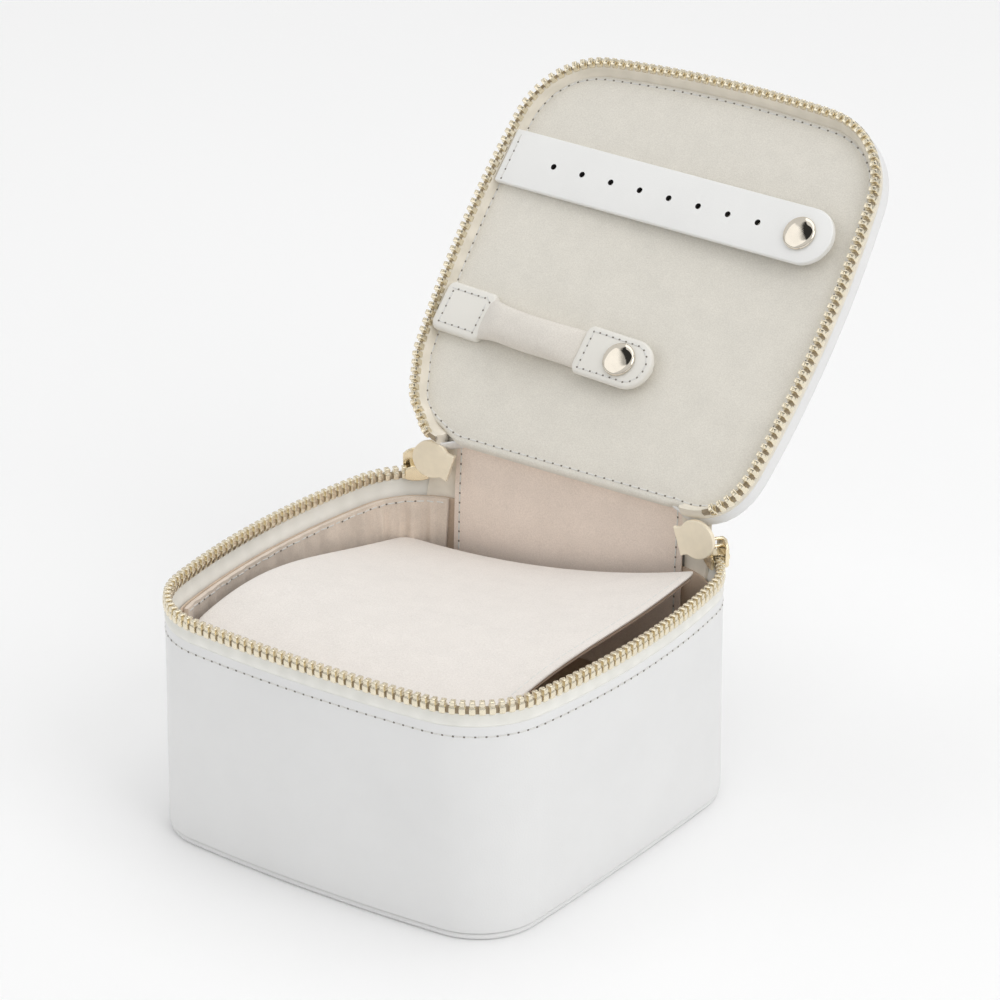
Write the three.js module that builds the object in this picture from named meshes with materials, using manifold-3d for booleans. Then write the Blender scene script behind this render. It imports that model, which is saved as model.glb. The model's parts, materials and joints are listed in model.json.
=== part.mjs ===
// A zip-around travel jewelry box: a soft-cornered square base with a shallow lid that leans back on a
// leather spine. Millimetres, +Z up, front towards -Y. The origin is the middle of the underside.
import * as THREE from "three";
import { mergeVertices } from "three/addons/utils/BufferGeometryUtils.js";
import Module from "manifold-3d";

const wasm = await Module();
wasm.setup();

// Driving dimensions.
const GAP = 0.3; // clearance kept between neighbouring pieces
const CHAIN_HALF = 57.4; // centre of the box to the base's zip teeth, at the rounded corners
const CORNER_R = 23; // corner radius of the zip's path
const SIDE_BOW = 3; // how far the left and right sides bulge out at their middles
const FRONT_BOW = 1.5;
const LID_CHAIN_HALF = 56.6;
const LID_SIDE_BOW = 1.8;
const FOOT_HALF = 56.8; // half the width of the underside
const FOOT_R = 18;
const CHAIN_Z = 65; // height of the middle of the base's zip teeth
const CHAIN_GAP = 1; // space between the two rows of teeth when the lid is shut
const TOOTH_H = 2.4;
const TOOTH_T = 2.2; // size of the teeth across the wall
const LID_DEPTH = 9; // lid teeth's middle to the lid's top
const HINGE = { y: 55.2, z: 75.7 };
const OPEN_ANGLE = 132; // degrees that the lid leans back from shut
const SPINE_HALF = 38; // half the width of the leather spine at the back
const PARK_ANGLE = 128; // where the left slider is parked on its corner
const SLIDER_SPAN = 8.5; // degrees of the corner to each side of the slider's middle

const LID_CHAIN_Z = CHAIN_Z + TOOTH_H + CHAIN_GAP;
const LID_TOP = LID_CHAIN_Z + LID_DEPTH;
const LINING_Z = LID_CHAIN_Z + 3; // the lid lining's face, with the lid shut
const CORNER_C = CHAIN_HALF - CORNER_R; // the corner arcs' centres are at +-CORNER_C

const leather = { color: 0xf0f0ee, roughness: 0.5, metalness: 0 };
const suede = { color: 0xe4dccf, roughness: 0.95, metalness: 0 };
const fabric = { color: 0xe9e8dc, roughness: 0.9, metalness: 0 };
const board = { color: 0x9c9488, roughness: 0.9, metalness: 0 };
const gold = { color: 0xe3cf9f, roughness: 0.25, metalness: 1 };
const steel = { color: 0xd8d2c4, roughness: 0.15, metalness: 1 };

const rad = THREE.MathUtils.degToRad;

function mesh(name, geometry, look) {
  const made = new THREE.Mesh(geometry, new THREE.MeshStandardMaterial(look));
  made.name = name;
  return made;
}

// Stations along a rounded square made of tangent arcs, anticlockwise from the back left corner. Each one
// holds its place and its outward normal. The back is straight. `start` is the normal's angle, in degrees,
// at the first station: 90 takes in the whole corner, and more cuts the path short at both ends.
function stations({ half, radius, sideBow, frontBow, start = 90, steps = 6 }) {
  const c = half - radius;
  const side = 2 * Math.atan(sideBow / c);
  const front = 2 * Math.atan(frontBow / c);
  const far = (angle) => radius + c / Math.sin(angle);
  const sideX = far(side) - radius;
  const found = [];
  const arc = (cx, cy, r, from, to) => {
    for (let i = 0; i < steps; i++) {
      const a = from + ((to - from) * i) / steps;
      found.push({ x: cx + r * Math.cos(a), y: cy + r * Math.sin(a), nx: Math.cos(a), ny: Math.sin(a) });
    }
  };
  const sideArc = (turn) => {
    const away = sideX * Math.cos(side) - c;
    arc(away * Math.sign(-Math.cos(turn)), 0, far(side), turn - side, turn + side);
  };
  const half90 = Math.PI / 2;
  arc(-c, c, radius, rad(start), Math.PI - side);
  sideArc(Math.PI);
  arc(-c, -c, radius, Math.PI + side, 3 * half90 - front);
  arc(0, c / Math.tan(front) - c, far(front), 3 * half90 - front, 3 * half90 + front);
  arc(c, -c, radius, 3 * half90 + front, 4 * half90 - side);
  sideArc(2 * Math.PI);
  arc(c, c, radius, 4 * half90 + side, 5 * half90 - rad(start - 90));
  const end = 5 * half90 - rad(start - 90);
  const last = { nx: Math.cos(end), ny: Math.sin(end) };
  found.push({ x: c + radius * last.nx, y: c + radius * last.ny, ...last });
  return found;
}

const CHAIN_PATH = { half: CHAIN_HALF, radius: CORNER_R, sideBow: SIDE_BOW, frontBow: FRONT_BOW };
const LID_PATH = { half: LID_CHAIN_HALF, radius: CORNER_R, sideBow: LID_SIDE_BOW, frontBow: FRONT_BOW };
const FOOT_PATH = { half: FOOT_HALF, radius: FOOT_R, sideBow: 0.6, frontBow: 1.6 };

const at = (s, offset, z) => new THREE.Vector3(s.x + s.nx * offset, s.y + s.ny * offset, z);

// Triangles that close the end of a loft, from the section's own flat outline.
function cap(points) {
  const normal = new THREE.Vector3();
  points.forEach((p, i) => normal.add(p.clone().cross(points[(i + 1) % points.length])));
  normal.normalize();
  const u = new THREE.Vector3().subVectors(points[1], points[0]).normalize();
  const v = new THREE.Vector3().crossVectors(normal, u);
  const flat = points.map((p) => new THREE.Vector2(p.dot(u), p.dot(v)));
  return THREE.ShapeUtils.triangulateShape(flat, []);
}

// One closed solid through a row of sections with the same number of points. A ring's last section joins
// its first, and otherwise both ends are capped.
function loft(sections, ring = false) {
  const count = sections[0].length;
  const points = sections.flat();
  const faces = [];
  const rows = ring ? sections.length : sections.length - 1;
  for (let i = 0; i < rows; i++) {
    const here = i * count;
    const next = ((i + 1) % sections.length) * count;
    for (let j = 0; j < count; j++) {
      const k = (j + 1) % count;
      faces.push([here + j, next + j, next + k], [here + j, next + k, here + k]);
    }
  }
  if (!ring) {
    const base = (sections.length - 1) * count;
    cap(sections[0]).forEach(([a, b, c]) => faces.push([a, b, c]));
    cap(sections.at(-1)).forEach(([a, b, c]) => faces.push([base + a, base + c, base + b]));
  }
  let volume = 0;
  for (const [a, b, c] of faces) volume += points[a].dot(points[b].clone().cross(points[c]));
  const index = faces.flatMap(([a, b, c]) => (volume < 0 ? [a, c, b] : [a, b, c]));
  const geometry = new THREE.BufferGeometry().setFromPoints(points);
  geometry.setIndex(index);
  geometry.computeVertexNormals();
  return geometry;
}

// A solid with the outline of a path, stacked up through levels of [offset, z].
const stack = (path, levels) =>
  loft(levels.map(([offset, z]) => stations(path).map((s) => at(s, offset, z))));

// A strip with the same cross-section of [offset, z] points all along a path.
const strip = (path, section, ring = false) =>
  loft(stations(path).map((s) => section.map(([offset, z]) => at(s, offset, z))), ring);

function solid(geometry) {
  const bare = geometry.clone();
  bare.deleteAttribute("normal");
  bare.deleteAttribute("uv");
  const merged = mergeVertices(bare, 1e-4);
  const vertProperties = merged.attributes.position.array;
  const triVerts = new Uint32Array(merged.index.array);
  return new wasm.Manifold(new wasm.Mesh({ numProp: 3, vertProperties, triVerts }));
}

function geometryOf(manifold) {
  const { vertProperties, triVerts } = manifold.getMesh();
  const geometry = new THREE.BufferGeometry();
  geometry.setAttribute("position", new THREE.BufferAttribute(new Float32Array(vertProperties), 3));
  geometry.setIndex(new THREE.BufferAttribute(new Uint32Array(triVerts), 1));
  geometry.computeVertexNormals();
  return geometry;
}

function block(low, high) {
  const size = high.map((h, i) => h - low[i]);
  const middle = high.map((h, i) => (h + low[i]) / 2);
  return new THREE.BoxGeometry(...size).translate(...middle);
}

// A flat plate: an outline in X and Y, `thick` tall, standing on z.
const plate = (shape, z, thick, curveSegments = 8) =>
  new THREE.ExtrudeGeometry(shape, { depth: thick, bevelEnabled: false, curveSegments }).translate(0, 0, z);

// A piece turned about Z from a half profile of [radius, z] points that starts and ends on the axis.
function turned(profile, x, y, segments = 20) {
  const points = profile.map(([r, z]) => new THREE.Vector2(r, z));
  return new THREE.LatheGeometry(points, segments).rotateX(Math.PI / 2).translate(x, y, 0);
}

// ---- Base ----

const FOOT_PLATE_H = 1.8;
const WALL_FOOT_Z = FOOT_PLATE_H + GAP;
const LEATHER_EDGE_Z = CHAIN_Z - 5.5;
const RIM_Z = CHAIN_Z - 8; // the wall stands upright above this height

const footStations = stations(FOOT_PATH);
const rimStations = stations(CHAIN_PATH);

// A point in the wall at one station: it follows the underside's outline at the foot and the zip's path
// from RIM_Z up. The offset is measured outwards from the zip's path.
function wallPoint(station, z, offset) {
  const t = Math.min(1, z / RIM_Z);
  return at(footStations[station], offset - 0.7, z).lerp(at(rimStations[station], offset, z), t);
}

function wallSection(station, outer, inner, low, high) {
  const heights = [low, RIM_Z / 3, (RIM_Z * 2) / 3, RIM_Z, high].filter((z) => z >= low && z <= high);
  return [
    ...heights.map((z) => wallPoint(station, z, outer)),
    ...heights.toReversed().map((z) => wallPoint(station, z, inner)),
  ];
}

const wallLayer = (outer, inner, low, high) =>
  loft(rimStations.map((_, i) => wallSection(i, outer, inner, low, high)), true);

function bottomPanel() {
  return mesh("base_bottom_panel", stack(FOOT_PATH, [[-0.9, 0], [-0.5, 0.5], [-0.5, FOOT_PLATE_H]]), leather);
}

function wallLeather() {
  return mesh("base_wall_leather", wallLayer(0.7, -0.3, WALL_FOOT_Z, LEATHER_EDGE_Z), leather);
}

function wallBoard() {
  return mesh("base_wall_board", wallLayer(-0.6, -1.7, WALL_FOOT_Z, RIM_Z - 0.2), board);
}

function wallLining() {
  return mesh("base_wall_lining", wallLayer(-2, -2.8, WALL_FOOT_Z, CHAIN_Z - 6.5), suede);
}

function floorPad() {
  const inside = -4.6;
  const pad = stack(FOOT_PATH, [[inside, WALL_FOOT_Z], [inside, 4], [inside - 1, 5.1]]);
  return mesh("base_floor_pad", pad, suede);
}

const ZIP_START = 112; // normal angle where the tape ends, just behind the slider and the end stop
const CHAIN_START = PARK_ANGLE - SLIDER_SPAN + 2;
const LID_ZIP_START = PARK_ANGLE + SLIDER_SPAN + 4;

function zipTape() {
  const section = [
    [-0.6, CHAIN_Z - 7.7], [-0.6, CHAIN_Z - 5.2], [0.4, CHAIN_Z - 3.4], [0.4, CHAIN_Z - 1.5],
    [-0.4, CHAIN_Z - 1.5], [-0.4, CHAIN_Z - 3.4], [-1.4, CHAIN_Z - 5.2], [-1.4, CHAIN_Z - 7.7],
  ];
  return mesh("base_zip_tape", strip({ ...CHAIN_PATH, start: ZIP_START }, section), fabric);
}

const toothSection = (z) => {
  const [w, h] = [TOOTH_T / 2, TOOTH_H / 2];
  return [[-w, z - h], [w, z - h], [w, z + h], [-w, z + h]];
};

function zipTeeth() {
  return mesh("base_zip_teeth", strip({ ...CHAIN_PATH, start: CHAIN_START }, toothSection(CHAIN_Z)), gold);
}

// The gathered pocket: a flat panel against the lining, round the back left corner and along the left side.
function sidePocket() {
  const [first, last] = [1, 13];
  const sections = [];
  for (let i = first; i <= last; i++) sections.push(wallSection(i, -3.2, -4.4, 9, RIM_Z + 0.4));
  return mesh("side_pocket", loft(sections), suede);
}

// A profile of [y, z] points carried straight across the box between two x values.
function across(profile, fromX, toX) {
  const section = (x) => profile.map(([y, z]) => new THREE.Vector3(x, y, z));
  return loft([section(fromX), section(toX)]);
}

function hingeSpine() {
  const outerY = CHAIN_HALF + 0.7;
  const low = LEATHER_EDGE_Z + GAP;
  const profile = [
    [outerY, low], [outerY, HINGE.z - 5.5], [outerY - 0.5, HINGE.z - 2.4], [HINGE.y + 1.2, HINGE.z - 0.1],
    [HINGE.y + 0.5, HINGE.z + 0.4], [HINGE.y - 0.5, HINGE.z + 0.2], [HINGE.y - 0.6, HINGE.z - 0.6],
    [HINGE.y + 0.4, HINGE.z - 1], [outerY - 1.5, HINGE.z - 3], [outerY - 1, HINGE.z - 5.5], [outerY - 1, low],
  ];
  return mesh("hinge_spine_leather", across(profile, -SPINE_HALF, SPINE_HALF), leather);
}

function hingeLining() {
  const face = CHAIN_HALF - 4;
  const profile = [
    [face - 0.8, 24], [face, RIM_Z], [face, 66], [face + 1.4, HINGE.z - 2.6], [face + 2.2, HINGE.z - 2.8],
    [face + 0.8, 66], [face + 0.8, RIM_Z], [face, 24],
  ];
  return mesh("hinge_lining", across(profile, -SPINE_HALF + 1, SPINE_HALF - 1), suede);
}

const FLAP = { left: -49, right: 45.5, front: -50, back: 48, thick: 1, z: 53 };

function flapHingeStrip() {
  const [low, high] = [FLAP.z - 1, FLAP.z - 0.2];
  const [front, back] = [FLAP.front - 4, FLAP.front - GAP];
  const profile = [[front, low], [back, low], [back, high], [front, high]];
  return mesh("flap_hinge_strip", across(profile, -34, 34), suede);
}

// A metal clamp over the last teeth, at the end of the zip on the side given by sign.
function endStop(name, sign) {
  const angle = rad(CHAIN_START - 4.5);
  const clamp = new THREE.BoxGeometry(TOOTH_T + 0.6, 1.6, TOOTH_H + 0.4).rotateZ(angle);
  const [x, y] = [CORNER_C - CORNER_R * Math.cos(angle), CORNER_C + CORNER_R * Math.sin(angle)];
  const left = clamp.translate(-x, y, CHAIN_Z + 0.1);
  return mesh(name, sign < 0 ? left : mirrored(left), gold);
}

// The same piece on the other side of the box.
function mirrored(geometry) {
  const flipped = geometry.index ? geometry.toNonIndexed() : geometry.clone();
  flipped.scale(-1, 1, 1);
  const position = flipped.attributes.position;
  for (let i = 0; i < position.count; i += 3) {
    const a = new THREE.Vector3().fromBufferAttribute(position, i + 1);
    const b = new THREE.Vector3().fromBufferAttribute(position, i + 2);
    position.setXYZ(i + 1, b.x, b.y, b.z);
    position.setXYZ(i + 2, a.x, a.y, a.z);
  }
  flipped.computeVertexNormals();
  return flipped;
}

// ---- Inner flap ----

// Height of the flap's middle surface. u runs left to right and v front to back, both from 0 to 1.
function flapHeight(u, v) {
  const hump = (4.9 * Math.sin(Math.PI * v) + 1.6 * Math.sin(2 * Math.PI * v)) * (1 - 0.3 * u);
  const twist = v * v * (15.5 * u ** 2.1 - 7);
  return FLAP.z + hump + twist;
}

// How far the flap's edge draws in where its corner is rounded, at a distance from the corner's end.
function cornerInset(distance, radius) {
  if (distance >= radius) return 0;
  return radius - Math.sqrt(radius ** 2 - (radius - distance) ** 2);
}

function flapLeaf(name, lift, look) {
  const [rows, columns] = [16, 10];
  const length = FLAP.back - FLAP.front;
  const sections = [];
  for (let i = 0; i <= rows; i++) {
    const v = i / rows;
    const [fromFront, fromBack] = [v * length, (1 - v) * length];
    const left = FLAP.left + cornerInset(fromFront + 0.5, 12) + cornerInset(fromBack + 0.5, 5);
    const right = FLAP.right - cornerInset(fromFront + 0.5, 12) - cornerInset(fromBack + 0.5, 3);
    const row = (side) =>
      Array.from({ length: columns + 1 }, (_, j) => {
        const x = left + ((right - left) * j) / columns;
        const u = (x - FLAP.left) / (FLAP.right - FLAP.left);
        return new THREE.Vector3(x, FLAP.front + v * length, flapHeight(u, v) + lift + side * FLAP.thick);
      });
    sections.push([...row(0), ...row(1).reverse()]);
  }
  return mesh(name, loft(sections), look);
}

// ---- Lid, modelled shut and then opened about the hinge ----

// Cuts the straight back of a lid piece clear of the spine and the hinge line.
function clearOfSpine(geometry) {
  const room = block([-SPINE_HALF - 0.6, HINGE.y - 2, 60], [SPINE_HALF + 0.6, 70, 90]);
  return geometryOf(solid(geometry).subtract(solid(room)));
}

function lidLeather() {
  const edge = LID_TOP - 5;
  const levels = [
    [-0.2, LID_TOP - 1.1], [-0.2, edge], [0.8, edge], [0.9, LID_TOP - 2], [0.4, LID_TOP - 0.7], [-0.8, LID_TOP],
  ];
  return mesh("lid_leather", clearOfSpine(stack(LID_PATH, levels)), leather);
}

const lidSlab = (name, inset, low, high, look) =>
  mesh(name, clearOfSpine(stack(LID_PATH, [[-inset, low], [-inset, high]])), look);

function lidLining() {
  const levels = [[-2.2, LINING_Z], [-1.6, LINING_Z + 0.5], [-1.6, LINING_Z + 1]];
  return mesh("lid_lining", clearOfSpine(stack(LID_PATH, levels)), suede);
}

function lidTape() {
  const z = LID_CHAIN_Z;
  const section = [
    [-0.4, z + 1.5], [0.4, z + 1.5], [0.4, z + 2.6], [-0.5, z + 3.7], [-0.5, z + 6.2], [-1.3, z + 6.2],
    [-1.3, z + 3.5], [-0.4, z + 2.4],
  ];
  return mesh("lid_zip_tape", strip({ ...LID_PATH, start: LID_ZIP_START }, section), fabric);
}

function lidTeeth() {
  return mesh("lid_zip_teeth", strip({ ...LID_PATH, start: LID_ZIP_START }, toothSection(LID_CHAIN_Z)), gold);
}

// ---- Earring strap and ring bar, on the lid's lining ----

const SNAP = { capR: 4.7, capH: 1.3, baseR: 4, neckR: 2 };
const STRAP = { left: -55.5, right: 51.5, width: 16, thick: 1.8, y: HINGE.y - 77.9, snapX: 41.9 };
const HOLES = { count: 8, first: -39.2, pitch: 9.65, radius: 0.8 };
const STRAP_TILT = { lean: rad(1.5), turn: rad(1.6) }; // off the lining, and round on it
const BAR = { anchorLeft: -54.8, rollLeft: -41, rollRight: -6, tabRight: 16, width: 13, thick: 8, snapX: 6 };
const BAR_Y = HINGE.y - 32.7;
const BAR_TURN = rad(1.4);
const BAR_TAB = { drop: 2.6, thick: 1.5 }; // how far the end tab stands off the lining

// The cap on a snap's outer side: its back lies at z, and its dome hangs down from there.
function snapCap(x, z) {
  const { capR, capH } = SNAP;
  const profile = [[0, z - capH], [capR - 1.2, z - capH + 0.2], [capR, z - 0.5], [capR, z], [0, z]];
  return turned(profile, x, 0);
}

// The socket behind a strap or tab. It stands up from z, towards the lining, round the stud.
function snapSocket(x, z) {
  const { baseR, neckR } = SNAP;
  const well = neckR + 0.4;
  const rim = z + 1.2;
  return turned([[0, z], [baseR, z], [baseR - 0.3, rim], [well, rim], [well, z + 0.3], [0, z + 0.3]], x, 0);
}

function snapStud(name, x, y) {
  const { baseR, neckR } = SNAP;
  const top = LINING_Z - GAP;
  const profile = [[0, top - 1.4], [neckR, top - 1.4], [neckR, top - 0.5], [baseR, top - 0.4], [baseR, top], [0, top]];
  return mesh(name, turned(profile, x, y), steel);
}

function strapShape() {
  const half = STRAP.width / 2;
  const tip = STRAP.right - half;
  const shape = new THREE.Shape();
  shape.moveTo(STRAP.left, -half);
  shape.lineTo(tip, -half);
  shape.absarc(tip, 0, half, -Math.PI / 2, Math.PI / 2, false);
  shape.lineTo(STRAP.left, half);
  shape.closePath();
  for (let i = 0; i < HOLES.count; i++) {
    const hole = new THREE.Path();
    hole.absarc(HOLES.first + HOLES.pitch * i, 0, HOLES.radius, 0, 2 * Math.PI, true);
    shape.holes.push(hole);
  }
  return shape;
}

// The strap leans off the lining from its sewn left end, so its pieces share one tilted group.
function earringStrap() {
  const group = new THREE.Group();
  const face = -STRAP.thick;
  group.add(mesh("earring_strap", plate(strapShape(), face, STRAP.thick), leather));
  group.add(mesh("earring_snap_cap", snapCap(STRAP.snapX, face - GAP), steel));
  group.add(mesh("earring_snap_socket", snapSocket(STRAP.snapX, GAP), steel));
  const rise = STRAP.left * Math.sin(STRAP_TILT.lean);
  group.position.set(0, STRAP.y, LINING_Z - 0.5 + rise);
  group.rotation.set(0, STRAP_TILT.lean, STRAP_TILT.turn, "ZYX");
  return group;
}

function roundedBox(left, right, width, round) {
  const half = width / 2;
  const shape = new THREE.Shape();
  shape.moveTo(left, -half);
  shape.lineTo(right - round, -half);
  shape.absarc(right - round, -half + round, round, -Math.PI / 2, 0, false);
  shape.absarc(right - round, half - round, round, 0, Math.PI / 2, false);
  shape.lineTo(left, half);
  shape.closePath();
  return shape;
}

// The padded roll narrows from the anchor tab to the end tab.
function barRoll() {
  const sides = 16;
  // Along the roll: how far, how tall and how wide, each as a share of the whole.
  const profiles = [
    [0, 0.45, 0.97], [0.12, 0.8, 1], [0.4, 1, 0.97], [0.75, 1, 0.95], [0.93, 0.8, 0.95], [1, 0.4, 0.93],
  ];
  const middle = -0.6 - BAR.thick / 2;
  const sections = profiles.map(([t, tall, wide]) =>
    Array.from({ length: sides }, (_, i) => {
      const a = (2 * Math.PI * i) / sides;
      const x = BAR.rollLeft + (BAR.rollRight - BAR.rollLeft) * t;
      const z = middle + Math.sin(a) * (BAR.thick / 2) * tall;
      return new THREE.Vector3(x, Math.cos(a) * (BAR.width / 2) * wide, z);
    }),
  );
  return mesh("ring_bar_roll", loft(sections), suede);
}

function ringBar() {
  const group = new THREE.Group();
  const face = -BAR_TAB.drop - BAR_TAB.thick;
  const tab = roundedBox(BAR.rollRight + GAP, BAR.tabRight, BAR.width, 6);
  group.add(barRoll());
  group.add(mesh("ring_bar_tab", plate(tab, face, BAR_TAB.thick), leather));
  group.add(mesh("ring_snap_cap", snapCap(BAR.snapX, face - GAP), steel));
  group.add(mesh("ring_snap_socket", snapSocket(BAR.snapX, GAP - BAR_TAB.drop), steel));
  group.position.set(0, BAR_Y, LINING_Z);
  group.rotation.z = BAR_TURN;
  return group;
}

function barAnchor() {
  const thick = 2.6;
  const shape = roundedBox(BAR.anchorLeft, BAR.rollLeft - GAP, BAR.width + 0.4, 1);
  const anchor = mesh("ring_bar_anchor", plate(shape, -GAP - thick, thick), leather);
  anchor.position.set(0, BAR_Y, LINING_Z);
  anchor.rotation.z = BAR_TURN;
  return anchor;
}

// ---- Zip sliders and pull tabs ----

// Part of a ring about the left back corner's centre, between two radii and two heights.
function ringSector(inner, outer, low, high, span = SLIDER_SPAN) {
  const steps = 5;
  const sections = Array.from({ length: steps + 1 }, (_, i) => {
    const a = rad(PARK_ANGLE - span + (2 * span * i) / steps);
    const place = (r, z) => new THREE.Vector3(r * Math.cos(a) - CORNER_C, r * Math.sin(a) + CORNER_C, z);
    return [place(inner, low), place(outer, low), place(outer, high), place(inner, high)];
  });
  return loft(sections);
}

// An outer and an inner wing, joined by a thin bridge that passes between the two rows of teeth.
function sliderBody(name, sign) {
  const chainTop = CHAIN_Z + TOOTH_H / 2;
  const bridge = [chainTop + GAP, chainTop + CHAIN_GAP - GAP];
  const low = CHAIN_Z - 2.4;
  const [outerFace, innerFace] = [CORNER_R + 1.5, CORNER_R - 1.5];
  const outerWing = solid(ringSector(outerFace, outerFace + 1, low, CHAIN_Z + 5.6));
  const innerWing = solid(ringSector(innerFace - 0.8, innerFace, low, bridge[1]));
  const joined = outerWing.add(innerWing);
  const left = geometryOf(joined.add(solid(ringSector(innerFace - 0.4, outerFace + 0.4, ...bridge, 6))));
  return mesh(name, sign < 0 ? left : mirrored(left), gold);
}

// A pull tab: its round head's middle, height and radius, and its tail's length, half width and narrow waist.
// The tail hangs a little, and each side's tab stands where its own slider leaves it, turned about Z.
const PULL = { z: 70.6, thick: 1.3, headR: 5.4, tailLength: 6, tailHalf: 4.1, waist: 3.9, droop: rad(18) };
const PULL_PLACES = { left: { x: -42, y: 50.4, turn: rad(12) }, right: { x: 44.6, y: 49.1, turn: 0 } };

// A bell-shaped flat tab with a round head and a flared straight tail, standing upright inside the rim.
function pullTab(side) {
  const { headR, tailLength, tailHalf, waist } = PULL;
  const { x, y, turn } = PULL_PLACES[side];
  const shape = new THREE.Shape();
  const neck = Math.asin(waist / headR);
  const neckX = headR * Math.cos(neck);
  shape.absarc(0, 0, headR, neck, 2 * Math.PI - neck, false);
  shape.quadraticCurveTo(neckX + 1.2, -waist + 0.2, tailLength, -tailHalf);
  shape.lineTo(tailLength, tailHalf);
  shape.quadraticCurveTo(neckX + 1.2, waist - 0.2, neckX, waist);
  const flat = plate(shape, -PULL.thick / 2, PULL.thick, 10).rotateZ(-PULL.droop).rotateX(Math.PI / 2);
  const faced = side === "left" ? flat : mirrored(flat);
  return mesh(`${side}_pull_tab`, faced.rotateZ(turn).translate(x, y, PULL.z), gold);
}

// ---- Assembly ----

const box = new THREE.Group();

box.add(bottomPanel(), wallLeather(), wallBoard(), wallLining(), floorPad(), zipTape(), zipTeeth());
box.add(sidePocket(), hingeSpine(), hingeLining(), flapHingeStrip());
box.add(endStop("left_end_stop", -1), endStop("right_end_stop", 1));
box.add(flapLeaf("inner_flap_backing", -FLAP.thick - GAP / 2, suede));
box.add(flapLeaf("inner_flap_face", GAP / 2, suede));
box.add(sliderBody("left_slider", -1), sliderBody("right_slider", 1));
box.add(pullTab("left"), pullTab("right"));

const lid = new THREE.Group();
lid.add(lidLeather(), lidLining(), lidTape(), lidTeeth());
lid.add(lidSlab("lid_foam_pad", 1.7, LINING_Z + 1.3, LINING_Z + 2.9, board));
lid.add(lidSlab("lid_board", 1.7, LINING_Z + 3.2, LID_TOP - 1.1 - GAP, board));
lid.add(earringStrap(), ringBar(), barAnchor());
lid.add(snapStud("earring_snap_stud", STRAP.snapX, STRAP.y + STRAP.snapX * Math.sin(STRAP_TILT.turn)));
lid.add(snapStud("ring_snap_stud", BAR.snapX, BAR_Y + BAR.snapX * Math.sin(BAR_TURN)));

// The lid swings about the hinge line, so its group turns about that line.
const lidOnHinge = new THREE.Group();
lid.position.set(0, -HINGE.y, -HINGE.z);
lidOnHinge.add(lid);
lidOnHinge.position.set(0, HINGE.y, HINGE.z);
lidOnHinge.rotation.x = -rad(OPEN_ANGLE);
box.add(lidOnHinge);

export default box;
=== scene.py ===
import json
import math

import bmesh
import bpy
import numpy as np
from mathutils import Matrix, Vector


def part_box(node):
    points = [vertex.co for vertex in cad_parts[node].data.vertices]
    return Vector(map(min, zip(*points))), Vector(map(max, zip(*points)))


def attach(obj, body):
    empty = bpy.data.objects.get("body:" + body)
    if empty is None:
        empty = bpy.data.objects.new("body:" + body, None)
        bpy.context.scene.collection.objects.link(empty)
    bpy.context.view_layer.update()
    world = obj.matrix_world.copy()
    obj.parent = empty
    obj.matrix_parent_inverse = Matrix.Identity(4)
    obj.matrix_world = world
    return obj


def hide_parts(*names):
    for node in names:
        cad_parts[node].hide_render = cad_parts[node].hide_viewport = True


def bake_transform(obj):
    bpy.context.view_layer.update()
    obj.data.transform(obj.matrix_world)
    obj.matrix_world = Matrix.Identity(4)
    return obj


# A zip-around travel jewelry box, open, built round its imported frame. Every size below is in millimetres,
# in the frame's axes, and `add` turns a piece's points into metres. Lid pieces are described with the lid
# shut, and LID_OPEN swings them to where the frame has them at rest.

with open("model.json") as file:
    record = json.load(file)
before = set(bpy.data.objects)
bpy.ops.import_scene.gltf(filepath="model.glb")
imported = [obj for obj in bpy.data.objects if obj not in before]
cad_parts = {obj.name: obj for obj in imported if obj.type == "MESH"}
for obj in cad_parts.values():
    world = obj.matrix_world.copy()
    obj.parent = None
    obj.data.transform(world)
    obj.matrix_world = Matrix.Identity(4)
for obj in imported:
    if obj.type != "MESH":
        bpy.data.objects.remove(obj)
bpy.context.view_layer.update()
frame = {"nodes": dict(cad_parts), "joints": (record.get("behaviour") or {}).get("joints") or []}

MM = 0.001
JOINTS = {joint["name"]: joint for joint in frame["joints"]}


def to_mm(point):
    return Vector(point) / MM


def node_low(node):
    return to_mm(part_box(node)[0])


def node_high(node):
    return to_mm(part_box(node)[1])


# The zip's path, the lid's path and the underside's outline: rounded squares of tangent arcs.
RIM = {"half": 57.4, "radius": 23.0, "side_bow": 3.0, "front_bow": 1.5}
LID = {"half": 56.6, "radius": 23.0, "side_bow": 1.8, "front_bow": 1.5}
FOOT = {"half": 56.8, "radius": 18.0, "side_bow": 0.6, "front_bow": 1.6}
CORNER = RIM["half"] - RIM["radius"]

CHAIN_Z = (node_low("base_zip_teeth").z + node_high("base_zip_teeth").z) / 2
LEATHER_TOP = node_high("base_wall_leather").z
WALL_FOOT = node_low("base_wall_leather").z
STRAIGHT_Z = CHAIN_Z - 8  # the wall stands upright above this height
LID_CHAIN_Z = CHAIN_Z + 3.4
LID_TOP = LID_CHAIN_Z + 9
LINING_Z = LID_CHAIN_Z + 3
SPINE_HALF = 38.0
PARK = 128.0  # where the left slider sits on its corner, in degrees

HINGE = to_mm(JOINTS["lid_hinge"]["pos_m"])
OPEN_ANGLE = math.radians(JOINTS["lid_hinge"]["range_deg"][1])
LID_OPEN = Matrix.Translation(HINGE) @ Matrix.Rotation(-OPEN_ANGLE, 4, "X") @ Matrix.Translation(-HINGE)
MIRROR = Matrix.Scale(-1, 4, (1, 0, 0))


# ---- Paths ----

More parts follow.
